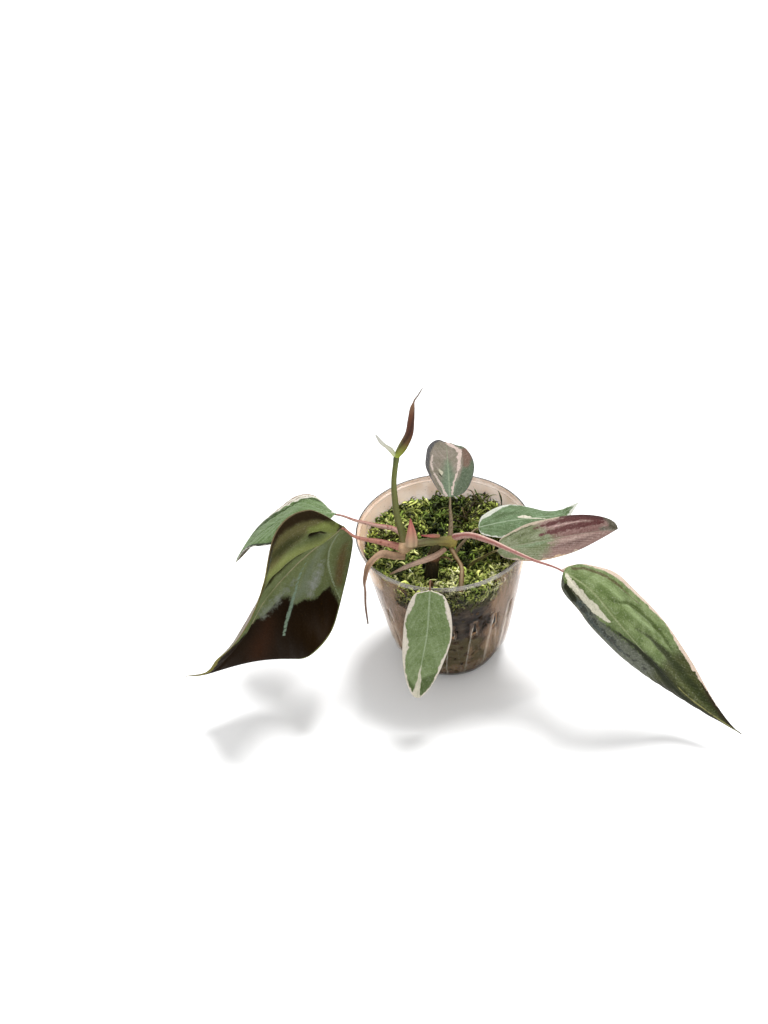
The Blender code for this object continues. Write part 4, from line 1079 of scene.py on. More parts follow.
withered_sheath = stem_piece(
    "withered_sheath_strap", WITHERED_SHEATH_PATH,
    (0.0034, 0.0036, 0.0030, 0.0020, 0.0018, 0.0016, 0.0014, 0.0006), dry_sheath,
    sheath_tint([tone(200, 164, 130), tone(196, 160, 130), tone(182, 144, 116), tone(166, 126, 102),
                 tone(148, 110, 88), tone(136, 102, 84), tone(128, 104, 90)], 3, 0.4),
    thicknesses=(0.0010, 0.0010, 0.0009, 0.0008), rings=120, sides=20, facing=(-0.6, -0.5, 0.6))
declare(withered_sheath, "sheath_dry", "withered_sheath")
side_bud = stem_piece(
    "side_bud_point", SIDE_BUD_PATH, (0.0016, 0.0017, 0.0011, 0.0005), stem_skin, bud_tint,
    rings=40, sides=20)
declare(side_bud, "stalk_pink", "side_bud")
long_root = stem_piece(
    "long_root_line", LONG_ROOT_PATH, (0.0020, 0.0018, 0.0021, 0.0019, 0.0014), dry_sheath, root_tint,
    rings=120, sides=20, facing=(1.0, 0.0, 0.0), swell=root_swell)
declare(long_root, "root_brown", "long_root")
short_root = stem_piece(
    "short_root_line", SHORT_ROOT_PATH, (0.0010, 0.0008, 0.0009, 0.0004), dry_sheath, root_tint,
    rings=40, sides=14, swell=root_swell)
declare(short_root, "root_brown", "short_root")

# Leaf blades
# Each blade is a thin velvety sheet, folded on a sunk midrib, quilted between its side veins and
# waved at the margin. The halo is a cream to pink border that the plant lays down in blotches.
RIB_THICKNESS = 0.0011
MIDDLE_THICKNESS = 0.0005
MARGIN_THICKNESS = 0.00022
TIP_HALF_WIDTH = 0.0005
BASE_ROUNDING = 0.035

# Lengths are in metres and angles in degrees, given for the left side of the rib and then the right.
# Rib, roll, fold and curl run from stalk to tip; widest and shoulder are shares of the length and of
# the width, and ground is the green, its mottle and its veins. A relief is a path of (u, v), a height
# and a width, where u is 0 at the stalk and 1 at the tip, and v is -1 and 1 at the margins.
# Each mark is a name, a colour, a softness and a raggedness in millimetres, and its shape: "margin"
# gives border widths in mm from stalk to tip, left and then right; "stroke" gives a path of (u, v) and
# its half widths in mm; "beyond" gives (v, u) pairs past which the colour lies; "beside" gives (u, v)
# pairs to the right of which it lies.
LEAVES = {}
LEAVES["left_back"] = dict(
    rib=(
        (-0.0500, 0.0053, 0.0884), (-0.0618, 0.0059, 0.0905), (-0.0774, 0.0085, 0.0820),
        (-0.0992, 0.0120, 0.0600)),
    roll=(28, 18, 16), half_width=(0.0160, 0.0195), lobes=(0.003, 0.002),
    fold=((-7, -3, 21), (-5, 8, 25)), curl=((-20, -30, 2), (22, 3, 0)), widest=(0.33, 0.27),
    shoulder=(0.35, 0.26), taper=(1.50, 0.90), ripple_height=0.0005, ripples=2.5, quilt=0.00035,
    speckle=0.6, rounding=0.14, ground=(tone(112, 136, 90), tone(94, 118, 66), tone(160, 176, 132)),
    relief=(
        (((0.04, 0.95), (0.18, 0.96), (0.34, 0.93), (0.50, 0.86)), 0.0010, 0.0045),
        (((0.10, 0.74), (0.30, 0.66), (0.46, 0.56), (0.66, 0.62)), -0.0006, 0.0010)),
    marks=(
        ("low", tone(40, 52, 26), 0.3, 0.4, "margin", (0.1, 0.1, 0.3, 1.1, 1.5, 1.4, 0.8, 0.3),
            (0.0, 0.0)),
        ("base", tone(74, 86, 58), 0.4, 0.6, "margin", (0.0, 0.0), (1.2, 1.0, 0.6, 0.0, 0.0, 0.0, 0.0)),
        ("halo", tone(226, 222, 210), 0.12, 1.1, "margin", (0.25, 0.25),
            (0.8, 2.0, 4.4, 5.4, 5.6, 5.0, 3.0, 1.0, 0.4, 0.3, 0.2)),
        ("blush", tone(168, 146, 130), 0.2, 0.5, "stroke",
            ((0.14, 0.97), (0.26, 0.95), (0.38, 0.90), (0.50, 0.84), (0.60, 0.86)),
            (0.5, 0.7, 0.8, 0.5, 0.2)),
        ("inner", tone(168, 142, 122), 0.15, 0.3, "stroke",
            ((0.18, 0.86), (0.30, 0.82), (0.42, 0.74), (0.52, 0.68)), (0.2, 0.35, 0.35, 0.1)),
        ("shade", tone(56, 76, 30), 0.5, 0.6, "stroke",
            ((0.42, 0.60), (0.52, 0.66), (0.64, 0.74), (0.78, 0.78)), (0.2, 1.5, 1.9, 0.8)),
        ("groove", tone(72, 92, 50), 0.5, 0.5, "stroke",
            ((0.46, 0.06), (0.60, -0.10), (0.72, -0.20)), (0.2, 0.7, 0.3)),
        ("fold_line", tone(66, 84, 42), 0.25, 0.3, "stroke",
            ((0.10, 0.80), (0.20, 0.76), (0.32, 0.68), (0.44, 0.58)), (0.6, 0.5, 0.4, 0.5))))

LEAVES["left_front"] = dict(
    rib=(
        (-0.0463, -0.0079, 0.0884), (-0.0652, -0.0125, 0.0773), (-0.0818, -0.0210, 0.0661),
        (-0.0980, -0.0258, 0.0443), (-0.1185, -0.0291, 0.0298), (-0.1256, -0.0302, 0.0310)),
    roll=(-75, -74, -101), half_width=(0.0338, 0.0313), lobes=(0.0027, 0.0025), sheen=0.0, shine=0.04,
    veins=0.16, midrib=0.45, speckle=0.25, fold=((-45, 6, -39), (21, 55, 24)),
    curl=((2, 72, 14), (-18, 41, 14)), widest=(0.42, 0.27), shoulder=(0.16, 0.31), taper=(1.81, 1.23),
    ripple_height=0.0005, ripples=3.0, quilt=0.0004,
    ground=(tone(122, 132, 90), tone(108, 118, 74), tone(206, 186, 156)),
    relief=(
        (((0.02, 0.10), (0.08, 0.13), (0.15, 0.27), (0.22, 0.44), (0.28, 0.66), (0.31, 0.90)),
            0.0026, 0.0026),
        (((0.01, 0.30), (0.04, 0.42), (0.08, 0.52)), 0.0018, 0.0022),
        (((0.05, 0.25), (0.08, 0.31), (0.11, 0.36)), -0.0018, 0.0016),
        (((0.18, 0.12), (0.24, 0.18), (0.30, 0.30), (0.34, 0.52)), -0.0014, 0.0018),
        (((0.20, -0.10), (0.30, -0.24), (0.42, -0.36), (0.54, -0.50)), 0.0007, 0.0016),
        (((0.04, -0.20), (0.11, -0.36), (0.17, -0.54), (0.22, -0.80)), -0.0007, 0.0012)),
    marks=(
        # Painted shade: the hood's hollow, which the light does not reach, is painted dull olive.
        ("hollow", tone(104, 100, 62), 3.0, 1.0, "beside",
            ((0.0, 0.45), (0.15, 0.45), (0.30, 0.7), (0.5, 0.9))),
        ("shadow", tone(66, 68, 36), 2.2, 0.8, "stroke",
            ((0.12, 0.50), (0.17, 0.58), (0.22, 0.72), (0.25, 0.9)), (0.8, 2.2, 2.4, 1.4)),
        # Painted highlight: a grey-blue line along the hood's inner edge.
        ("hood_grey", tone(112, 122, 104), 0.7, 1.6, "stroke",
            ((0.20, 0.95), (0.26, 0.96), (0.32, 0.97)), (0.2, 0.8, 0.3)),
        # Painted shade: a dark brown band under the curled hood rim.
        ("hood", tone(44, 33, 16), 1.8, 0.8, "margin", (0.0, 0.0),
            (7.5, 6.4, 2.6, 1.4, 0.9, 0.7, 0.5, 0.5, 0.5, 0.5, 0.5)),
        ("hood_edge", tone(110, 98, 72), 0.15, 0.1, "margin", (0.0, 0.0),
            (0.5, 0.5, 0.4, 0.3, 0.0, 0.0)),
        ("sunlit", tone(124, 134, 72), 1.2, 0.6, "stroke",
            ((0.01, 0.30), (0.04, 0.42), (0.08, 0.50)), (1.6, 2.2, 1.6)),
        ("lit_ridge", tone(136, 144, 84), 1.6, 0.6, "stroke",
            ((0.02, 0.10), (0.08, 0.13), (0.15, 0.27), (0.22, 0.44), (0.28, 0.66), (0.31, 0.90)),
            (0.8, 1.6, 2.2, 2.4, 1.8)),
        # Painted shade in the groove below the raised ridge.
        ("valley", tone(46, 44, 12), 1.0, 0.6, "stroke",
            ((0.17, 0.13), (0.23, 0.18), (0.29, 0.28), (0.33, 0.45), (0.36, 0.7)),
            (0.2, 1.0, 1.6, 1.8, 1.2)),
        # Painted shade in the cleft by the lobe.
        ("cleft", tone(34, 28, 10), 0.6, 0.3, "stroke", ((0.045, 0.24), (0.07, 0.30), (0.10, 0.34)),
            (0.4, 1.2, 0.9)),
        ("sage", tone(126, 136, 112), 4.0, 0.8, "stroke",
            ((0.10, -0.10), (0.20, -0.24), (0.30, -0.36), (0.40, -0.30)), (0.5, 1.5, 2.5, 1.0)),
        # The dark velvet of the lower right half, with painted shade where the blade turns away from the
        # light.
        ("dark", tone(32, 19, 4), 1.7, 2.2, "beyond",
            ((-1.0, 0.26), (-0.90, 0.24), (-0.72, 0.23), (-0.66, 0.25), (-0.62, 0.30), (-0.47, 0.34),
                (-0.36, 0.39), (-0.25, 0.37), (-0.15, 0.38), (-0.13, 0.46), (-0.10, 0.50),
                (-0.04, 0.53), (0.04, 0.60), (0.4, 0.66), (1.0, 0.70))),
        ("warm", tone(52, 28, 10), 5.0, 1.0, "stroke", ((0.52, -0.2), (0.66, -0.4), (0.72, -0.7)),
            (2.0, 4.0, 3.0)),
        # Painted sheen: a whitish velvet gleam along the edge of the dark.
        ("bloom", tone(160, 164, 156), 2.4, 3.0, "stroke",
            ((0.17, -0.37), (0.23, -0.44), (0.30, -0.50)), (0.2, 1.5, 1.1)),
        ("bloom_low", tone(138, 144, 130), 2.2, 3.0, "stroke",
            ((0.30, -0.16), (0.40, -0.14), (0.50, -0.08)), (0.1, 1.0, 0.9)),
        ("lobe", tone(110, 102, 64), 2.2, 0.8, "stroke",
            ((0.06, -0.66), (0.12, -0.74), (0.19, -0.84)), (1.4, 2.6, 1.8)),
        ("lobe_red", tone(110, 92, 60), 2.2, 0.8, "stroke",
            ((0.10, -0.72), (0.15, -0.80), (0.19, -0.88)), (0.3, 1.0, 0.5)),
        ("lobe_vein", tone(150, 160, 128), 0.15, 0.2, "stroke",
            ((0.02, -0.16), (0.06, -0.24), (0.11, -0.36), (0.16, -0.52), (0.20, -0.72), (0.24, -0.98)),
            (0.5, 0.5, 0.5, 0.45, 0.4, 0.3)),
        ("pale_vein", tone(134, 154, 134), 0.3, 0.4, "stroke",
            ((0.18, -0.06), (0.25, -0.15), (0.33, -0.27), (0.42, -0.36), (0.54, -0.50)),
            (0.2, 0.35, 0.55, 0.8, 0.6)),
        ("right_edge", tone(118, 122, 70), 0.3, 0.3, "margin", (0.7, 0.7, 0.4, 0.2, 0.0, 0.0),
            (0.0, 0.0)),
        ("tip_edge", tone(124, 116, 48), 0.5, 0.4, "margin", (0.0, 0.0, 0.0, 0.0, 0.0),
            (0.0, 0.0, 0.4, 2.2, 3.0, 2.0))))

LEAVES["upright"] = dict(
    rib=((0.0029, -0.0111, 0.1015), (0.0030, -0.0100, 0.1175), (0.0028, -0.0105, 0.1305)),
    facing=(0.0, -1.0, 0.4), roll=(-12, -10, -12), half_width=(0.0110, 0.0110), lobes=(0.0, 0.0),
    fold=((-25, -10, -20), (-13, -3, -9)), curl=((-38, -24, -32), (-25, -16, -18)), widest=(0.52, 0.48),
    shoulder=(0.30, 0.30), taper=(0.45, 0.58), ripple_height=0.0004, ripples=1.5, quilt=0.0003,
    speckle=0.45, midrib=0.6, ground=(tone(178, 164, 152), tone(158, 148, 132), tone(182, 196, 164)),
    nicks=((1.0, 0.0, 0.0011, 0.0022), (0.93, 0.86, 0.0013, 0.0030), (0.60, -1.0, 0.0005, 0.0035)),
    marks=(
        ("green", tone(132, 150, 124), 2.2, 1.0, "stroke",
            ((0.0, 0.0), (0.2, 0.0), (0.4, 0.0), (0.62, 0.0)), (3.5, 4.2, 2.6, 0.6)),
        ("lobe", tone(108, 122, 98), 0.8, 0.6, "beside",
            ((0.0, 0.18), (0.25, 0.34), (0.55, 0.56), (0.75, 0.78), (1.0, 0.95))),
        ("rust", tone(140, 112, 98), 1.2, 1.0, "stroke", ((0.55, 0.72), (0.66, 0.80), (0.78, 0.90)),
            (1.6, 2.2, 1.6)),
        ("rim", tone(104, 102, 104), 0.8, 1.2, "margin", (0.6, 1.4, 2.6, 2.8, 2.2, 1.2),
            (0.2, 0.2, 0.1, 0.0)),
        ("left_pale", tone(174, 160, 148), 0.3, 0.8, "margin", (0.1, 0.4, 0.3, 0.0, 0.0, 0.0),
            (0.0, 0.0)),
        ("pink_right", tone(250, 226, 216), 0.10, 1.0, "stroke",
            ((0.05, 0.13), (0.16, 0.17), (0.26, 0.20), (0.42, 0.34), (0.59, 0.45), (0.76, 0.58),
                (0.90, 0.72), (1.0, 0.5)), (0.45, 0.5, 0.3, 0.5, 0.75, 0.8, 0.8, 0.6)),
        ("pink_left", tone(242, 222, 212), 0.10, 1.0, "stroke",
            ((0.03, -0.22), (0.14, -0.36), (0.30, -0.53), (0.46, -0.66), (0.56, -0.70), (0.68, -0.64)),
            (0.6, 0.9, 0.5, 0.4, 0.5, 0.3)),
        ("crumb", tone(232, 226, 200), 0.08, 0.8, "stroke",
            ((0.47, -0.34), (0.42, -0.26), (0.38, -0.32)), (0.3, 0.6, 0.4)),
        ("crumb_dark", tone(52, 48, 32), 0.08, 0.6, "stroke", ((0.39, -0.36), (0.35, -0.28)),
            (0.35, 0.3))))

LEAVES["right_back"] = dict(
    rib=(
        (0.0156, -0.0041, 0.0767), (0.0278, -0.0056, 0.0795), (0.0431, -0.0057, 0.0797),
        (0.0532, -0.0031, 0.0777), (0.0618, -0.0009, 0.0815)),
    roll=(-6, -3, -13), half_width=(0.0130, 0.0110), lobes=(0.0, 0.0), fold=((0, -5, -14), (5, -4, -1)),
    curl=((0, -2, -25), (-10, -18, -11)), widest=(0.29, 0.34), shoulder=(0.29, 0.25),
    taper=(1.03, 0.92), ripple_height=0.0004, ripples=2.0, quilt=0.0003, speckle=0.5,
    ground=(tone(112, 136, 98), tone(92, 114, 74), tone(164, 180, 150)),
    marks=(
        ("deep", tone(74, 96, 54), 1.6, 1.0, "stroke", ((0.12, -0.30), (0.26, -0.40), (0.40, -0.40)),
            (0.4, 1.4, 0.6)),
        ("halo", tone(214, 216, 204), 0.35, 1.6, "margin",
            (3.4, 4.6, 2.0, 0.7, 0.5, 0.5, 0.7, 1.2, 1.4),
            (0.5, 0.7, 0.9, 0.6, 0.9, 0.9, 1.2, 1.6, 1.4)),
        ("streak", tone(226, 218, 200), 0.12, 0.9, "stroke",
            ((0.37, -0.12), (0.42, -0.12), (0.48, -0.02), (0.53, 0.10), (0.60, 0.26)),
            (0.2, 0.9, 0.8, 0.3, 0.3))))

LEAVES["right_middle"] = dict(
    rib=(
        (0.0211, -0.0248, 0.0809), (0.0388, -0.0247, 0.0824), (0.0587, -0.0228, 0.0820),
        (0.0721, -0.0250, 0.0845)),
    roll=(0, 14, 21), half_width=(0.0122, 0.0095), lobes=(0.0, 0.001), fold=((-4, -1, 3), (3, -1, -1)),
    curl=((-12, -12, -8), (-9, -12, -10)), widest=(0.37, 0.33), shoulder=(0.22, 0.23),
    taper=(0.45, 0.85), ripple_height=0.0004, ripples=2.0, quilt=0.0004, veins=0.18, midrib=0.3,
    speckle=0.5, vein_sweep=0.9, ground=(tone(130, 136, 106), tone(106, 116, 78), tone(168, 166, 144)),
    marks=(
        ("flush", tone(144, 116, 108), 4.0, 2.4, "beyond",
            ((-1.0, 0.34), (-0.4, 0.42), (0.0, 0.50), (0.5, 0.40), (1.0, 0.30))),
        ("green_dark", tone(84, 92, 54), 0.8, 1.0, "stroke",
            ((0.12, -0.30), (0.22, -0.44), (0.34, -0.50)), (0.2, 0.9, 0.5)),
        ("green_edge", tone(74, 78, 48), 0.4, 0.8, "stroke",
            ((0.08, -0.74), (0.20, -0.78), (0.32, -0.80)), (0.2, 0.5, 0.3)),
        ("rosy", tone(126, 88, 84), 3.0, 2.0, "stroke",
            ((0.50, -0.10), (0.66, -0.16), (0.84, -0.20)), (0.5, 1.6, 1.0)),
        ("band_high", tone(84, 40, 38), 0.7, 1.6, "stroke",
            ((0.34, -0.62), (0.50, -0.70), (0.66, -0.76), (0.82, -0.86), (0.94, -0.9)),
            (0.1, 1.0, 1.6, 1.8, 1.0)),
        ("band_low", tone(88, 44, 42), 0.7, 1.6, "stroke",
            ((0.36, -0.24), (0.50, -0.28), (0.68, -0.40), (0.90, -0.56)), (0.3, 1.5, 1.7, 0.6)),
        ("streak_pale", tone(176, 152, 142), 1.2, 1.6, "stroke",
            ((0.40, 0.22), (0.60, 0.26), (0.80, 0.22)), (0.2, 0.7, 0.2)),
        ("streak_low", tone(120, 94, 88), 1.0, 1.8, "stroke",
            ((0.38, 0.52), (0.60, 0.52), (0.80, 0.36)), (0.2, 0.8, 0.2)),
        ("grey_tip", tone(112, 104, 92), 0.8, 1.8, "stroke", ((0.86, -0.1), (0.94, 0.0)), (0.6, 1.0)),
        ("gleam", tone(184, 150, 146), 0.4, 0.8, "stroke",
            ((0.46, -0.50), (0.60, -0.56), (0.76, -0.64)), (0.1, 0.4, 0.2)),
        ("edge_high", tone(70, 34, 32), 0.5, 0.6, "margin",
            (0.0, 0.0, 0.0, 0.2, 0.9, 1.4, 1.7, 1.8, 1.4), (0.0, 0.0)),
        ("tip", tone(84, 78, 62), 1.0, 0.8, "beyond", ((-1.0, 0.90), (0.0, 0.95), (1.0, 0.97))),
        ("green_low", tone(120, 136, 104), 1.2, 1.4, "stroke",
            ((0.12, 0.10), (0.28, 0.16), (0.42, 0.10)), (0.6, 1.2, 0.2)),
        ("halo", tone(184, 168, 148), 0.4, 1.6, "margin",
            (0.8, 1.4, 1.8, 1.8, 1.2, 0.2, 0.0, 0.0, 0.0), (0.3, 0.5, 0.3, 0.0, 0.0)),
        ("dry", tone(196, 166, 136), 0.2, 1.2, "margin", (0.0, 0.0),
            (0.0, 0.0, 0.9, 0.7, 0.0, 0.0, 0.0, 0.0))))

LEAVES["right_front"] = dict(
    rib=(
        (0.0459, -0.0388, 0.0767), (0.0540, -0.0500, 0.0755), (0.0625, -0.0585, 0.0655),
        (0.0756, -0.0656, 0.0476), (0.0945, -0.0715, 0.0225), (0.1135, -0.0835, 0.0110)),
    roll=(12, 38, 66), half_width=(0.0215, 0.0143), lobes=(0.0014, 0.0),
    fold=((-20, -11, 2), (-30, -50, -70)), curl=((-34, -20, -20), (-40, -48, -70)), widest=(0.38, 0.40),
    shoulder=(0.34, 0.19), taper=(1.36, 1.05), ripple_height=0.0003, ripples=3.0, quilt=0.00045,
    veins=0.5, midrib=0.6, speckle=0.5, vein_sweep=0.6, vein_count=8.0,
    ground=(tone(126, 142, 92), tone(94, 112, 58), tone(162, 170, 124)),
    relief=(
        (((0.28, 0.28), (0.38, 0.16), (0.46, 0.07), (0.56, 0.03), (0.66, 0.06)), -0.0010, 0.0014),
        (((0.19, -0.12), (0.235, -0.30), (0.28, -0.52), (0.42, -0.65), (0.58, -0.62)), -0.0007, 0.0013),
        (((0.36, -0.20), (0.44, -0.33), (0.54, -0.40), (0.76, -0.50), (0.88, -0.5)), -0.0008, 0.0014),
        (((0.22, -0.30), (0.36, -0.34), (0.52, -0.30)), 0.0006, 0.0030)),
    marks=(
        # Painted highlight along the raised ridge between the grooves.
        ("ridge", tone(140, 158, 106), 1.4, 1.0, "stroke",
            ((0.10, -0.35), (0.20, -0.45), (0.32, -0.40), (0.44, -0.50)), (0.6, 1.4, 1.2, 0.6)),
        ("grey", tone(98, 102, 88), 0.8, 2.4, "beside",
            ((0.0, 0.50), (0.10, 0.50), (0.28, 0.36), (0.34, 0.26), (0.44, 0.12), (0.53, 0.06),
                (0.65, 0.10), (0.75, 0.3), (1.0, 0.9))),
        ("slate", tone(70, 78, 74), 0.3, 4.0, "stroke",
            ((0.12, 0.70), (0.24, 0.72), (0.36, 0.60), (0.46, 0.56)), (0.8, 2.0, 1.6, 0.6)),
        ("grit", tone(58, 60, 52), 0.15, 6.0, "stroke",
            ((0.16, 0.66), (0.30, 0.62), (0.44, 0.50), (0.56, 0.40)), (0.1, 0.3, 0.2, 0.0)),
        ("olive", tone(62, 66, 24), 5.0, 1.2, "beyond",
            ((-1.0, 0.62), (-0.4, 0.56), (0.0, 0.55), (1.0, 0.60))),
        ("tip_dark", tone(46, 46, 16), 4.0, 1.2, "beyond",
            ((-1.0, 0.80), (-0.1, 0.80), (0.1, 0.64), (1.0, 0.62))),
        ("brown_patch", tone(84, 78, 52), 0.4, 0.8, "stroke", ((0.07, 0.52), (0.12, 0.50)), (0.8, 0.9)),
        # Painted shade in the two grooves.
        ("deep_high", tone(72, 88, 34), 0.6, 0.6, "stroke",
            ((0.19, -0.12), (0.235, -0.30), (0.28, -0.52), (0.34, -0.60), (0.42, -0.65),
                (0.50, -0.66), (0.58, -0.62)), (0.2, 0.6, 0.9, 1.0, 1.1, 1.0, 0.3)),
        ("deep_mid", tone(50, 58, 18), 0.8, 0.6, "stroke",
            ((0.36, -0.20), (0.44, -0.33), (0.54, -0.40), (0.64, -0.44), (0.76, -0.50), (0.88, -0.5)),
            (0.1, 0.9, 1.5, 1.8, 1.5, 0.6)),
        ("tip_strip", tone(84, 90, 48), 0.8, 0.6, "stroke",
            ((0.58, -0.20), (0.70, -0.22), (0.84, -0.26), (0.96, -0.2)), (0.4, 0.8, 0.6, 0.1)),
        ("tip_margin", tone(42, 34, 12), 0.5, 0.5, "margin",
            (0.0, 0.0, 0.0, 0.0, 0.0, 0.0, 0.5, 1.4, 1.5, 1.2, 0.8),
            (0.0, 0.0, 0.0, 0.0, 0.0, 0.4, 1.0, 1.2)),
        # Painted shade in the groove along the valley.
        ("valley", tone(34, 40, 10), 0.7, 0.5, "stroke",
            ((0.28, 0.34), (0.38, 0.14), (0.46, 0.05), (0.56, 0.02), (0.66, 0.06), (0.80, 0.16)),
            (0.2, 0.9, 1.3, 1.6, 1.5, 0.6)),
        ("tip_line", tone(158, 154, 92), 0.2, 0.3, "stroke",
            ((0.68, -0.06), (0.82, -0.10), (0.99, -0.1)), (0.1, 0.25, 0.2)),
        ("scar", tone(34, 38, 12), 0.4, 0.4, "stroke", ((0.04, 0.58), (0.10, 0.76)), (1.1, 1.6)),
        ("streak", tone(230, 224, 202), 0.12, 1.0, "stroke",
            ((0.015, 0.12), (0.05, 0.30), (0.10, 0.36), (0.15, 0.36), (0.20, 0.32), (0.25, 0.24),
                (0.30, 0.08)), (0.5, 1.5, 1.6, 1.4, 1.7, 0.9, -0.9)),
        ("halo", tone(214, 192, 174), 0.14, 1.1, "margin",
            (1.4, 3.4, 3.6, 3.2, 2.2, 0.8, 3.0, 2.2, 0.3, 0.0, 0.0), (0.15, 0.15, 0.1)),
        ("fold_line", tone(86, 82, 44), 0.4, 0.5, "stroke",
            ((0.02, -0.36), (0.05, -0.58), (0.12, -0.60), (0.20, -0.66), (0.34, -0.74)),
            (0.9, 0.9, 0.7, 0.5, 0.3))))

LEAVES["front"] = dict(
    rib=(
        (-0.0109, -0.0424, 0.0785), (-0.0142, -0.0490, 0.0595), (-0.0178, -0.0492, 0.0415),
        (-0.0214, -0.0510, 0.0213)),
    facing=(0.0, -1.0, 0.4), roll=(2, 3, 2), half_width=(0.0109, 0.0103), lobes=(0.0, 0.0),
    fold=((1, -4, -2), (0, -8, -5)), curl=((-7, -15, -14), (-10, -21, -19)), widest=(0.41, 0.34),
    shoulder=(0.24, 0.33), taper=(0.59, 0.56), ripple_height=0.0004, ripples=2.0, quilt=0.00025,
    veins=0.8, midrib=0.5, speckle=0.5, vein_sweep=0.5,
    ground=(tone(130, 148, 100), tone(108, 128, 74), tone(184, 198, 164)),
    marks=(
        ("deep", tone(80, 98, 46), 1.6, 0.8, "beyond",
            ((-1.0, 0.72), (-0.2, 0.78), (0.3, 0.88), (1.0, 0.80))),
        ("halo", tone(226, 216, 200), 0.14, 1.1, "margin",
            (0.5, 1.5, 1.9, 0.8, 0.5, 0.8, 1.7, 1.2, 0.6, 0.7, 0.9),
            (0.5, 2.0, 1.1, 0.6, 2.3, 3.0, 1.7, 1.1, 0.9, 1.0, 1.2)),
        ("streak", tone(220, 212, 192), 0.12, 0.5, "stroke",
            ((0.67, 0.0), (0.74, 0.03), (0.80, -0.02), (0.86, 0.06), (0.92, 0.18), (0.99, 0.2)),
            (0.1, 0.4, 0.7, 1.0, 1.4, 1.6))))


def spread_rows(rows, u):
    """Rows of three values, given at even steps, read at each u."""
    return np.stack([spread(rows[:, axis], u) for axis in range(3)], -1)


def eased(values, u):
    """Spread with its corners rounded, as the mean of nine readings close by."""
    near = np.linspace(-0.10, 0.10, 9)
    return sum(spread(values, np.clip(u + step, 0.0, 1.0)) for step in near) / len(near)


def blade_form(leaf, rows, columns):
    """Points of a blade's middle surface and its flat measures: along and off the rib, and to the margin.

    The rib is a smooth path. Each side has its own half width, which swells from the shoulder to
    the widest place and then falls as a power of a cosine to the tip. Seen along the rib, each
    side leaves it at its fold angle and then bends as an arc by its curl, and the margin ripples.
    The rows crowd towards both ends, so that the base and the tip come out round.
    """
    share = np.linspace(0.0, 1.0, rows)
    u = (0.45 * share + 0.55 * (0.5 - 0.5 * np.cos(np.pi * share)))[:, None]
    v = np.linspace(-1.0, 1.0, columns)
    right = (v > 0).astype(int)
    across = np.abs(v)
    dense = smooth_path(leaf["rib"], CURVE_SAMPLES)
    rib = spread_rows(dense, u[:, 0])
    length = np.linalg.norm(np.diff(dense, axis=0), axis=1).sum()
    slopes = unit(np.gradient(dense, axis=0))
    tangent = unit(spread_rows(slopes, u[:, 0]))
    near = np.linspace(-0.12, 0.12, 9)
    steady = unit(sum(spread_rows(slopes, np.clip(u[:, 0] + step, 0, 1)) for step in near))
    level = unit(np.cross(steady, leaf.get("facing", (0.0, 0.0, 1.0))))
    upright = np.cross(level, steady)
    roll = np.radians(eased(leaf["roll"], u))
    up = np.cos(roll) * upright + np.sin(roll) * level
    side = np.cross(steady, up)
    half, widest, shoulder, taper, lobe = (
        np.array(leaf[key])[right] for key in ("half_width", "widest", "shoulder", "taper", "lobes"))
    swell = shoulder + (1 - shoulder) * np.sqrt(np.clip(1 - (1 - u / widest) ** 2, 0.0, 1.0))
    near_base = np.minimum(u / leaf.get("rounding", BASE_ROUNDING), 1.0)
    swell = swell * np.sqrt(1 - (1 - near_base) ** 2)
    fall = np.cos(0.5 * np.pi * np.clip((u - widest) / (1 - widest), 0.0, 1.0)) ** taper
    full = np.maximum(np.where(u < widest, swell, fall) * half, TIP_HALF_WIDTH * (1 - 0.6 * u))
    reach = full * across
    part = reach / half
    fold, curl = (np.radians(np.where(right, eased(leaf[key][1], u), eased(leaf[key][0], u)))
                  for key in ("fold", "curl"))
    curl = np.where(np.abs(curl) < 0.001, 0.001, curl)
    out = half * (np.sin(fold + curl * part) - np.sin(fold)) / curl
    lift = half * (np.cos(fold) - np.cos(fold + curl * part)) / curl
    ripple = np.sin(2 * np.pi * (leaf["ripples"] * u + 0.25 * np.sign(v)))
    ripple = ripple * np.sqrt(np.clip(np.sin(np.pi * u), 0.0, 1.0))
    lift = lift + leaf["ripple_height"] * part ** 2 * ripple
    back = -lobe * np.sin(0.5 * np.pi * across) ** 2 * np.clip(1 - u / (1.6 * widest), 0.0, 1.0) ** 2
    surface = rib[:, None] + back[..., None] * tangent[:, None]
    surface = surface + (np.sign(v) * out)[..., None] * side[:, None] + lift[..., None] * up[:, None]
    same = np.zeros_like(reach)
    flat = {"u": u + same, "v": v + same, "along": length * u + same, "off": reach * np.sign(v),
            "edge": full - reach, "full": full, "half": half + same, "length": length, "up": up[0]}
    for nick_u, nick_v, depth, width in leaf.get("nicks", ()):
        row = np.argmin(np.abs(u[:, 0] - nick_u))
        bite = surface[row, np.argmin(np.abs(v - nick_v))]
        middle = surface[np.argmin(np.abs(u[:, 0] - 0.5)), len(v) // 2]
        share = np.exp(-(np.linalg.norm(surface - bite, axis=-1) / width) ** 2)
        surface = surface + (depth * share)[..., None] * unit(middle - bite)
    return surface, flat


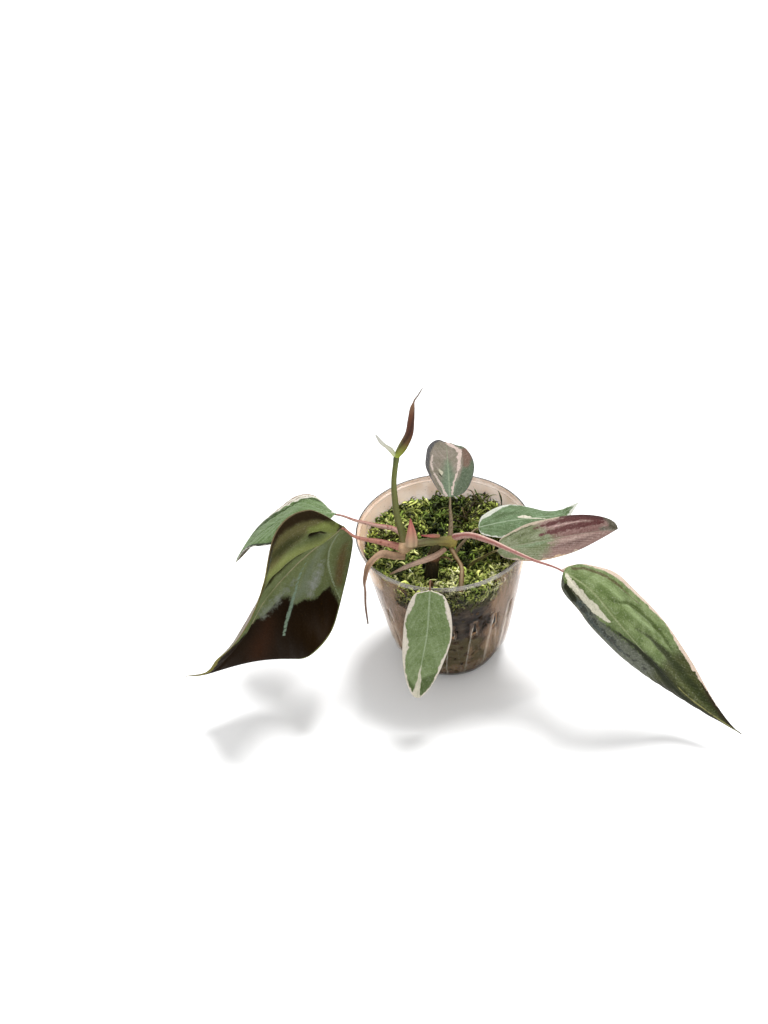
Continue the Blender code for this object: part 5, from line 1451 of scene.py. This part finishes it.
def path_distance(flat, path):
    """Distance in metres from each point of the flat blade to a path of (u, v), and how far along."""
    path = np.array(path, float)
    rows = flat["u"][:, 0]
    left, right = (np.interp(path[:, 0], rows, flat["full"][:, column]) for column in (0, -1))
    line = np.stack([path[:, 0] * flat["length"], path[:, 1] * np.where(path[:, 1] > 0, right, left)], -1)
    spot = np.stack([flat["along"], flat["off"]], -1)
    best = np.full(spot.shape[:-1], 1e9)
    where = np.zeros(spot.shape[:-1])
    for number, (start, end) in enumerate(zip(line[:-1], line[1:])):
        step = end - start
        t = np.clip(((spot - start) @ step) / (step @ step), 0.0, 1.0)
        far = np.linalg.norm(spot - (start + t[..., None] * step), axis=-1)
        closer = far < best
        best = np.where(closer, far, best)
        where = np.where(closer, (number + t) / (len(line) - 1), where)
    return best, where


def mark_field(flat, kind, *shape):
    """Signed depth in mm inside a mark: above zero in it, below zero outside."""
    if kind == "margin":
        widths = np.where(flat["v"] > 0, spread(shape[1], flat["u"]), spread(shape[0], flat["u"]))
        return widths - 1000 * flat["edge"] - 2.5 * np.clip(1 - widths / 0.12, 0.0, 1.0)
    if kind == "stroke":
        far, where = path_distance(flat, shape[0])
        return spread(shape[1], where) - 1000 * far
    pairs = np.array(shape[0])
    if kind == "beyond":
        return 1000 * flat["length"] * (flat["u"] - np.interp(flat["v"], pairs[:, 0], pairs[:, 1]))
    return 1000 * flat["half"] * (flat["v"] - np.interp(flat["u"], pairs[:, 0], pairs[:, 1]))


def vein_phase(leaf, flat):
    """A count that passes a whole number at each side vein, which sweeps forward from the rib."""
    across = np.abs(flat["off"]) / np.maximum(flat["half"], 1e-6)
    return leaf.get("vein_count", 9.0) * (flat["u"] - leaf.get("vein_sweep", 0.45) * across ** 1.15)


def make_leaf(place, leaf, rows=150, columns=64):
    """Both faces of a blade and its margin, set half a thickness off the quilted middle surface.

    The quilt swells between the side veins, the midrib is sunk in it, and each relief is a ridge or
    a groove whose height falls off as a bell curve across its path.
    """
    surface, flat = blade_form(leaf, rows, columns + 1)
    normal = unit(np.cross(np.gradient(surface, axis=1), np.gradient(surface, axis=0)))
    phase = vein_phase(leaf, flat)
    inner = np.clip(flat["edge"] / 0.003, 0.0, 1.0) * np.clip(np.abs(flat["off"]) / 0.002, 0.0, 1.0)
    relief = leaf["quilt"] * np.abs(np.sin(np.pi * phase)) ** 0.7 * inner
    relief -= 0.00035 * np.exp(-(flat["off"] / 0.0008) ** 2)
    for path, height, width in leaf.get("relief", ()):
        far, where = path_distance(flat, path)
        relief += height * np.exp(-(far / width) ** 2) * np.clip(np.sin(np.pi * where) + 0.3, 0.0, 1.0)
    surface = surface + relief[..., None] * normal
    taper = np.clip(flat["edge"] / 0.002, 0.0, 1.0) ** 0.6
    thickness = MARGIN_THICKNESS + (MIDDLE_THICKNESS - MARGIN_THICKNESS) * taper
    rib = (RIB_THICKNESS - MIDDLE_THICKNESS) * np.exp(-(flat["off"] / 0.0009) ** 2)
    rib = rib * np.clip(1.15 - flat["u"], 0, 1)
    upper = surface + normal * (thickness / 2)[..., None]
    lower = surface - normal * (thickness / 2 + rib)[..., None]
    index = np.arange(rows * (columns + 1)).reshape(rows, columns + 1)
    under = index + rows * (columns + 1)
    top = np.stack([index[:-1, :-1], index[:-1, 1:], index[1:, 1:], index[1:, :-1]], -1).reshape(-1, 4)
    bottom = top[:, ::-1] + rows * (columns + 1)
    loop, below = (np.concatenate([grid[0, :-1], grid[:-1, -1], grid[-1, :0:-1], grid[:0:-1, 0]])
                   for grid in (index, under))
    margin = np.stack([np.roll(loop, -1), loop, below, np.roll(below, -1)], -1)
    slimming = np.clip(1.2 - flat["u"], 0.25, 1.0)
    fields = {"phase": phase, "off_rib": 1000 * flat["off"] / slimming, "edge": 1000 * flat["edge"]}
    for mark in leaf["marks"]:
        fields["mark_" + mark[0]] = mark_field(flat, *mark[4:])
    fields = {label: np.tile(value.ravel(), 2) for label, value in fields.items()}
    face_finish = np.concatenate([np.zeros(len(top)), np.ones(len(bottom)), np.zeros(len(margin))])
    points = np.concatenate([upper.reshape(-1, 3), lower.reshape(-1, 3)])
    return add_piece("blade_" + place, points, [np.concatenate([top, bottom, margin])],
                     [leaf_finish(place, leaf), leaf_underside], fields, face_finish)


# A mark on a blade: its colour is laid where the field is above zero, with a ragged soft edge.
mark_group, given, result = new_group(
    "blade_mark", {"Place": VECTOR, "Under": COLOUR, "Over": COLOUR, "Field": FLOAT, "Softness": FLOAT,
                   "Raggedness": FLOAT}, {"Colour": COLOUR})
tree = mark_group
ragged = reckon(tree, "SUBTRACT", cloudy(tree, given["Place"], 380.0, 4.0, 0.65), 0.5)
reach = reckon(tree, "MULTIPLY", given["Raggedness"], 3.0)
shifted = reckon(tree, "MULTIPLY_ADD", ragged, reach, given["Field"])
laid = ramp(tree, shifted, reckon(tree, "MULTIPLY", given["Softness"], -1.0), given["Softness"])
tree.links.new(blend_colours(tree, laid, given["Under"], given["Over"]), result["Colour"])

# The velvet of a blade: fine grain, paler veins and midrib, pale speckles painted as glints on its hairs,
# and the relief of both.
velvet_group, given, result = new_group(
    "blade_velvet", {"Place": VECTOR, "Colour": COLOUR, "Vein Colour": COLOUR, "Vein Strength": FLOAT,
                     "Rib Strength": FLOAT, "Speckle": FLOAT, "Phase": FLOAT, "Off Rib": FLOAT,
                     "Edge": FLOAT}, {"Colour": COLOUR, "Height": FLOAT})
tree = velvet_group
near_vein = reckon(tree, "MULTIPLY", reckon(tree, "PINGPONG", given["Phase"], 0.5), 9.0)
vein = ramp(tree, near_vein, 0.40, 0.05)
quarter = reckon(tree, "PINGPONG", reckon(tree, "MULTIPLY", given["Phase"], 4.0), 0.5)
fine = ramp(tree, quarter, 0.16, 0.02)
rib = ramp(tree, reckon(tree, "ABSOLUTE", given["Off Rib"]), 0.60, 0.15)
inside = ramp(tree, given["Edge"], 0.8, 3.0)
lines = reckon(tree, "MULTIPLY_ADD", fine, 0.22, reckon(tree, "MULTIPLY", vein, 0.35))
lines = reckon(tree, "MULTIPLY", lines, inside)
broken = ramp(tree, cloudy(tree, given["Place"], 500.0, 3.0), 0.40, 0.60, 0.25, 1.0)
lines = reckon(tree, "MULTIPLY", lines, reckon(tree, "MULTIPLY", broken, given["Vein Strength"]))
lines = reckon(tree, "MAXIMUM", lines, reckon(tree, "MULTIPLY", rib, given["Rib Strength"]))
puffed = reckon(tree, "MULTIPLY", ramp(tree, near_vein, 0.8, 3.8), inside)
puffed = reckon(tree, "MULTIPLY", puffed, reckon(tree, "MULTIPLY", given["Vein Strength"], 0.45))
grain = cloudy(tree, given["Place"], 1500.0, 3.0, 0.7)
cells = add_node(tree, "ShaderNodeTexVoronoi", {"Vector": given["Place"], "Scale": 850.0},
                 feature="SMOOTH_F1").outputs["Distance"]
bright = add_node(tree, "ShaderNodeRGBToBW", {"Color": given["Colour"]}).outputs[0]
between = blend_colours(tree, 1.0, given["Colour"], (0.70, 0.74, 0.66, 1.0), "MULTIPLY")
colour = blend_colours(tree, puffed, given["Colour"], between)
seen = reckon(tree, "MULTIPLY", lines, ramp(tree, bright, 0.008, 0.05, 0.05, 1.0))
colour = blend_colours(tree, seen, colour, given["Vein Colour"])
speckled = blend_colours(tree, 1.0, colour, (0.50, 0.53, 0.50, 1.0), "MULTIPLY")
# Pale speckles painted as glints off the velvet's hairs, more of them on brighter blades.
hair_glints = blend_colours(tree, ramp(tree, bright, 0.008, 0.05, 0.02, 0.34), colour, (0.62, 0.62, 0.56, 1.0))
for low, high, hairs in ((0.50, 0.38, speckled), (0.55, 0.68, hair_glints)):
    share = reckon(tree, "MULTIPLY", ramp(tree, grain, low, high), given["Speckle"])
    colour = blend_colours(tree, share, colour, hairs)
tree.links.new(colour, result["Colour"])
height = reckon(tree, "MULTIPLY_ADD", cells, -0.5, reckon(tree, "MULTIPLY", grain, 0.35))
height = reckon(tree, "SUBTRACT", height, reckon(tree, "MULTIPLY", lines, 0.8))
tree.links.new(height, result["Height"])


def lay_velvet(tree, shader, colour, veins, vein_strength, rib_strength, speckle, depth):
    """The velvet group laid over a blade's colour, and its relief as a bump of that depth."""
    inputs = {"Place": object_place(tree), "Colour": colour, "Vein Colour": veins,
              "Vein Strength": vein_strength, "Rib Strength": rib_strength, "Speckle": speckle,
              "Phase": read_field(tree, "phase"), "Off Rib": read_field(tree, "off_rib"),
              "Edge": read_field(tree, "edge")}
    velvet = add_node(tree, "ShaderNodeGroup", inputs, node_tree=velvet_group).outputs
    tree.links.new(velvet["Colour"], shader.inputs["Base Color"])
    raise_bumps(tree, shader, velvet["Height"], depth, 0.8)


def leaf_finish(place, leaf):
    """The upper face's finish: mottled ground, then each mark in turn, then the velvet over all."""
    made, tree, shader = new_finish(
        "blade_" + place, 0.6, Sheen_Weight=leaf.get("sheen", 0.06), Sheen_Roughness=0.3,
        Specular_IOR_Level=leaf.get("shine", 0.16))
    where = object_place(tree)
    ground, mottle, veins = leaf["ground"]
    colour = blend_colours(tree, ramp(tree, cloudy(tree, where, 170.0, 4.0), 0.35, 0.65), ground, mottle)
    for name, paint, softness, ragged, *shape in leaf["marks"]:
        inputs = {"Place": where, "Under": colour, "Over": paint, "Field": read_field(tree, "mark_" + name),
                  "Softness": softness, "Raggedness": ragged}
        colour = add_node(tree, "ShaderNodeGroup", inputs, node_tree=mark_group).outputs["Colour"]
    lay_velvet(tree, shader, colour, veins, leaf.get("veins", 0.8), leaf.get("midrib", 0.8),
               leaf.get("speckle", 0.6), 0.00018)
    return made


leaf_underside, tree, shader = new_finish(
    "blade_underside", 0.55, Sheen_Weight=0.05, Specular_IOR_Level=0.16)
mottle = ramp(tree, cloudy(tree, object_place(tree), 90.0, 4.0), 0.3, 0.7)
back_colour = blend_colours(tree, mottle, tone(120, 96, 80), tone(110, 104, 76))
lay_velvet(tree, shader, back_colour, tone(156, 146, 112), 0.6, 0.9, 0.4, 0.00015)

BLADE_SLOTS = {"left_front": "leaf_dark", "upright": "leaf_mauve", "right_middle": "leaf_mauve"}
for place, leaf in LEAVES.items():
    blade = make_leaf(place, leaf)
    declare(blade, BLADE_SLOTS.get(place, "leaf_green"), "leaf_" + place)

# Leaf stalks
# Slim stalks carry the blades: pink and grooved on the young ones, grey brown and speckled on those
# that rise out of the moss. Each runs out into its blade's midrib.
STALKS = {
    "left_back": (((-0.0186, -0.0118, 0.0834), (-0.0210, -0.0085, 0.0845), (-0.0305, -0.0044, 0.0858),
                   (-0.0390, -0.0006, 0.0868), (-0.0452, 0.0035, 0.0873)), (0.0026, 0.0022, 0.0016)),
    "left_front": (((-0.0222, -0.0160, 0.0822), (-0.0290, -0.0138, 0.0838), (-0.0396, -0.0111, 0.0862)),
                   (0.0032, 0.0028, 0.0018)),
    "upright": (((0.0018, -0.0146, 0.0845), (0.0026, -0.0126, 0.0900), (0.0026, -0.0117, 0.0960)),
                (0.0023, 0.0019, 0.0014)),
    "right_back": (((0.0030, -0.0100, 0.0600), (0.0040, -0.0098, 0.0680), (0.0093, -0.0078, 0.0738)),
                   (0.0020, 0.0018, 0.0014)),
    "right_middle": (((0.0070, -0.0150, 0.0580), (0.0094, -0.0163, 0.0650), (0.0156, -0.0206, 0.0738)),
                     (0.0020, 0.0018, 0.0014)),
    "right_front": (((0.0043, -0.0168, 0.0838), (0.0080, -0.0178, 0.0850), (0.0173, -0.0244, 0.0858),
                     (0.0247, -0.0311, 0.0854), (0.0320, -0.0362, 0.0838)), (0.0028, 0.0026, 0.0018)),
    "front": (((-0.0088, -0.0262, 0.0600), (-0.0092, -0.0285, 0.0700), (-0.0103, -0.0370, 0.0775)),
              (0.0018, 0.0016, 0.0009)),
}
STALK_TONES = {
    "left_back": (tone(228, 190, 174), tone(158, 92, 82)),
    "left_front": (tone(206, 146, 126), tone(140, 80, 66)),
    "upright": (tone(164, 144, 116), tone(104, 86, 62)),
    "right_back": (tone(168, 148, 120), tone(116, 98, 74)),
    "right_middle": (tone(134, 124, 80), tone(84, 76, 44)),
    "right_front": (tone(232, 196, 182), tone(158, 90, 84)),
    "front": (tone(146, 108, 88), tone(98, 66, 54)),
}
PINK_STALKS = ("left_back", "left_front", "right_front")


def stalk_swell(t, turn):
    """A shallow channel along the top and a slight swelling at both ends."""
    ends = 0.18 * np.exp(-(t / 0.05) ** 2) + 0.10 * np.exp(-((1 - t) / 0.05) ** 2)
    return 1 + ends - 0.08 * stripe(turn, 1, -1.6, 5.0)


def stalk_tint(pair):
    """A tint function for a stalk: its colour with darker lines and speckles along it."""
    def tint(t, turn, place):
        light, dark = np.array(pair[0])[:3], np.array(pair[1])[:3]
        lines = 0.85 * stripe(turn, 2, 0.9, 3.0) + 0.3 * stripe(turn, 5, 0.2, 2.0)
        specks = np.clip(soft_noise(place, 0.0012, 61) - 0.5, 0, 1) * 0.7
        share = np.clip(lines + specks, 0, 1)[:, None]
        return light * (1 - share) + dark * share
    return tint


for place, (start, diameters) in STALKS.items():
    form, flat = blade_form(LEAVES[place], 60, 3)
    rib = form[:, 1]
    into_blade = unit(rib[3] - rib[0])
    path = [np.array(point) for point in start]
    if place in PINK_STALKS or place == "upright":
        path[0] = path[0] - 0.0012 * unit(path[1] - path[0])
    under = rib[0] - 0.0007 * flat["up"]
    path += [under - 0.0006 * into_blade, under + 0.0016 * into_blade]
    widths = (*diameters, diameters[-1] * 0.7, 0.0008)
    stalk = stem_piece(
        "stalk_line_" + place, path, widths, stem_skin, stalk_tint(STALK_TONES[place]),
        rings=90, sides=20, facing=(0.3, 0.9, 0.4), swell=stalk_swell)
    declare(stalk, "stalk_pink" if place in PINK_STALKS else "stalk_brown", "stalk_" + place)
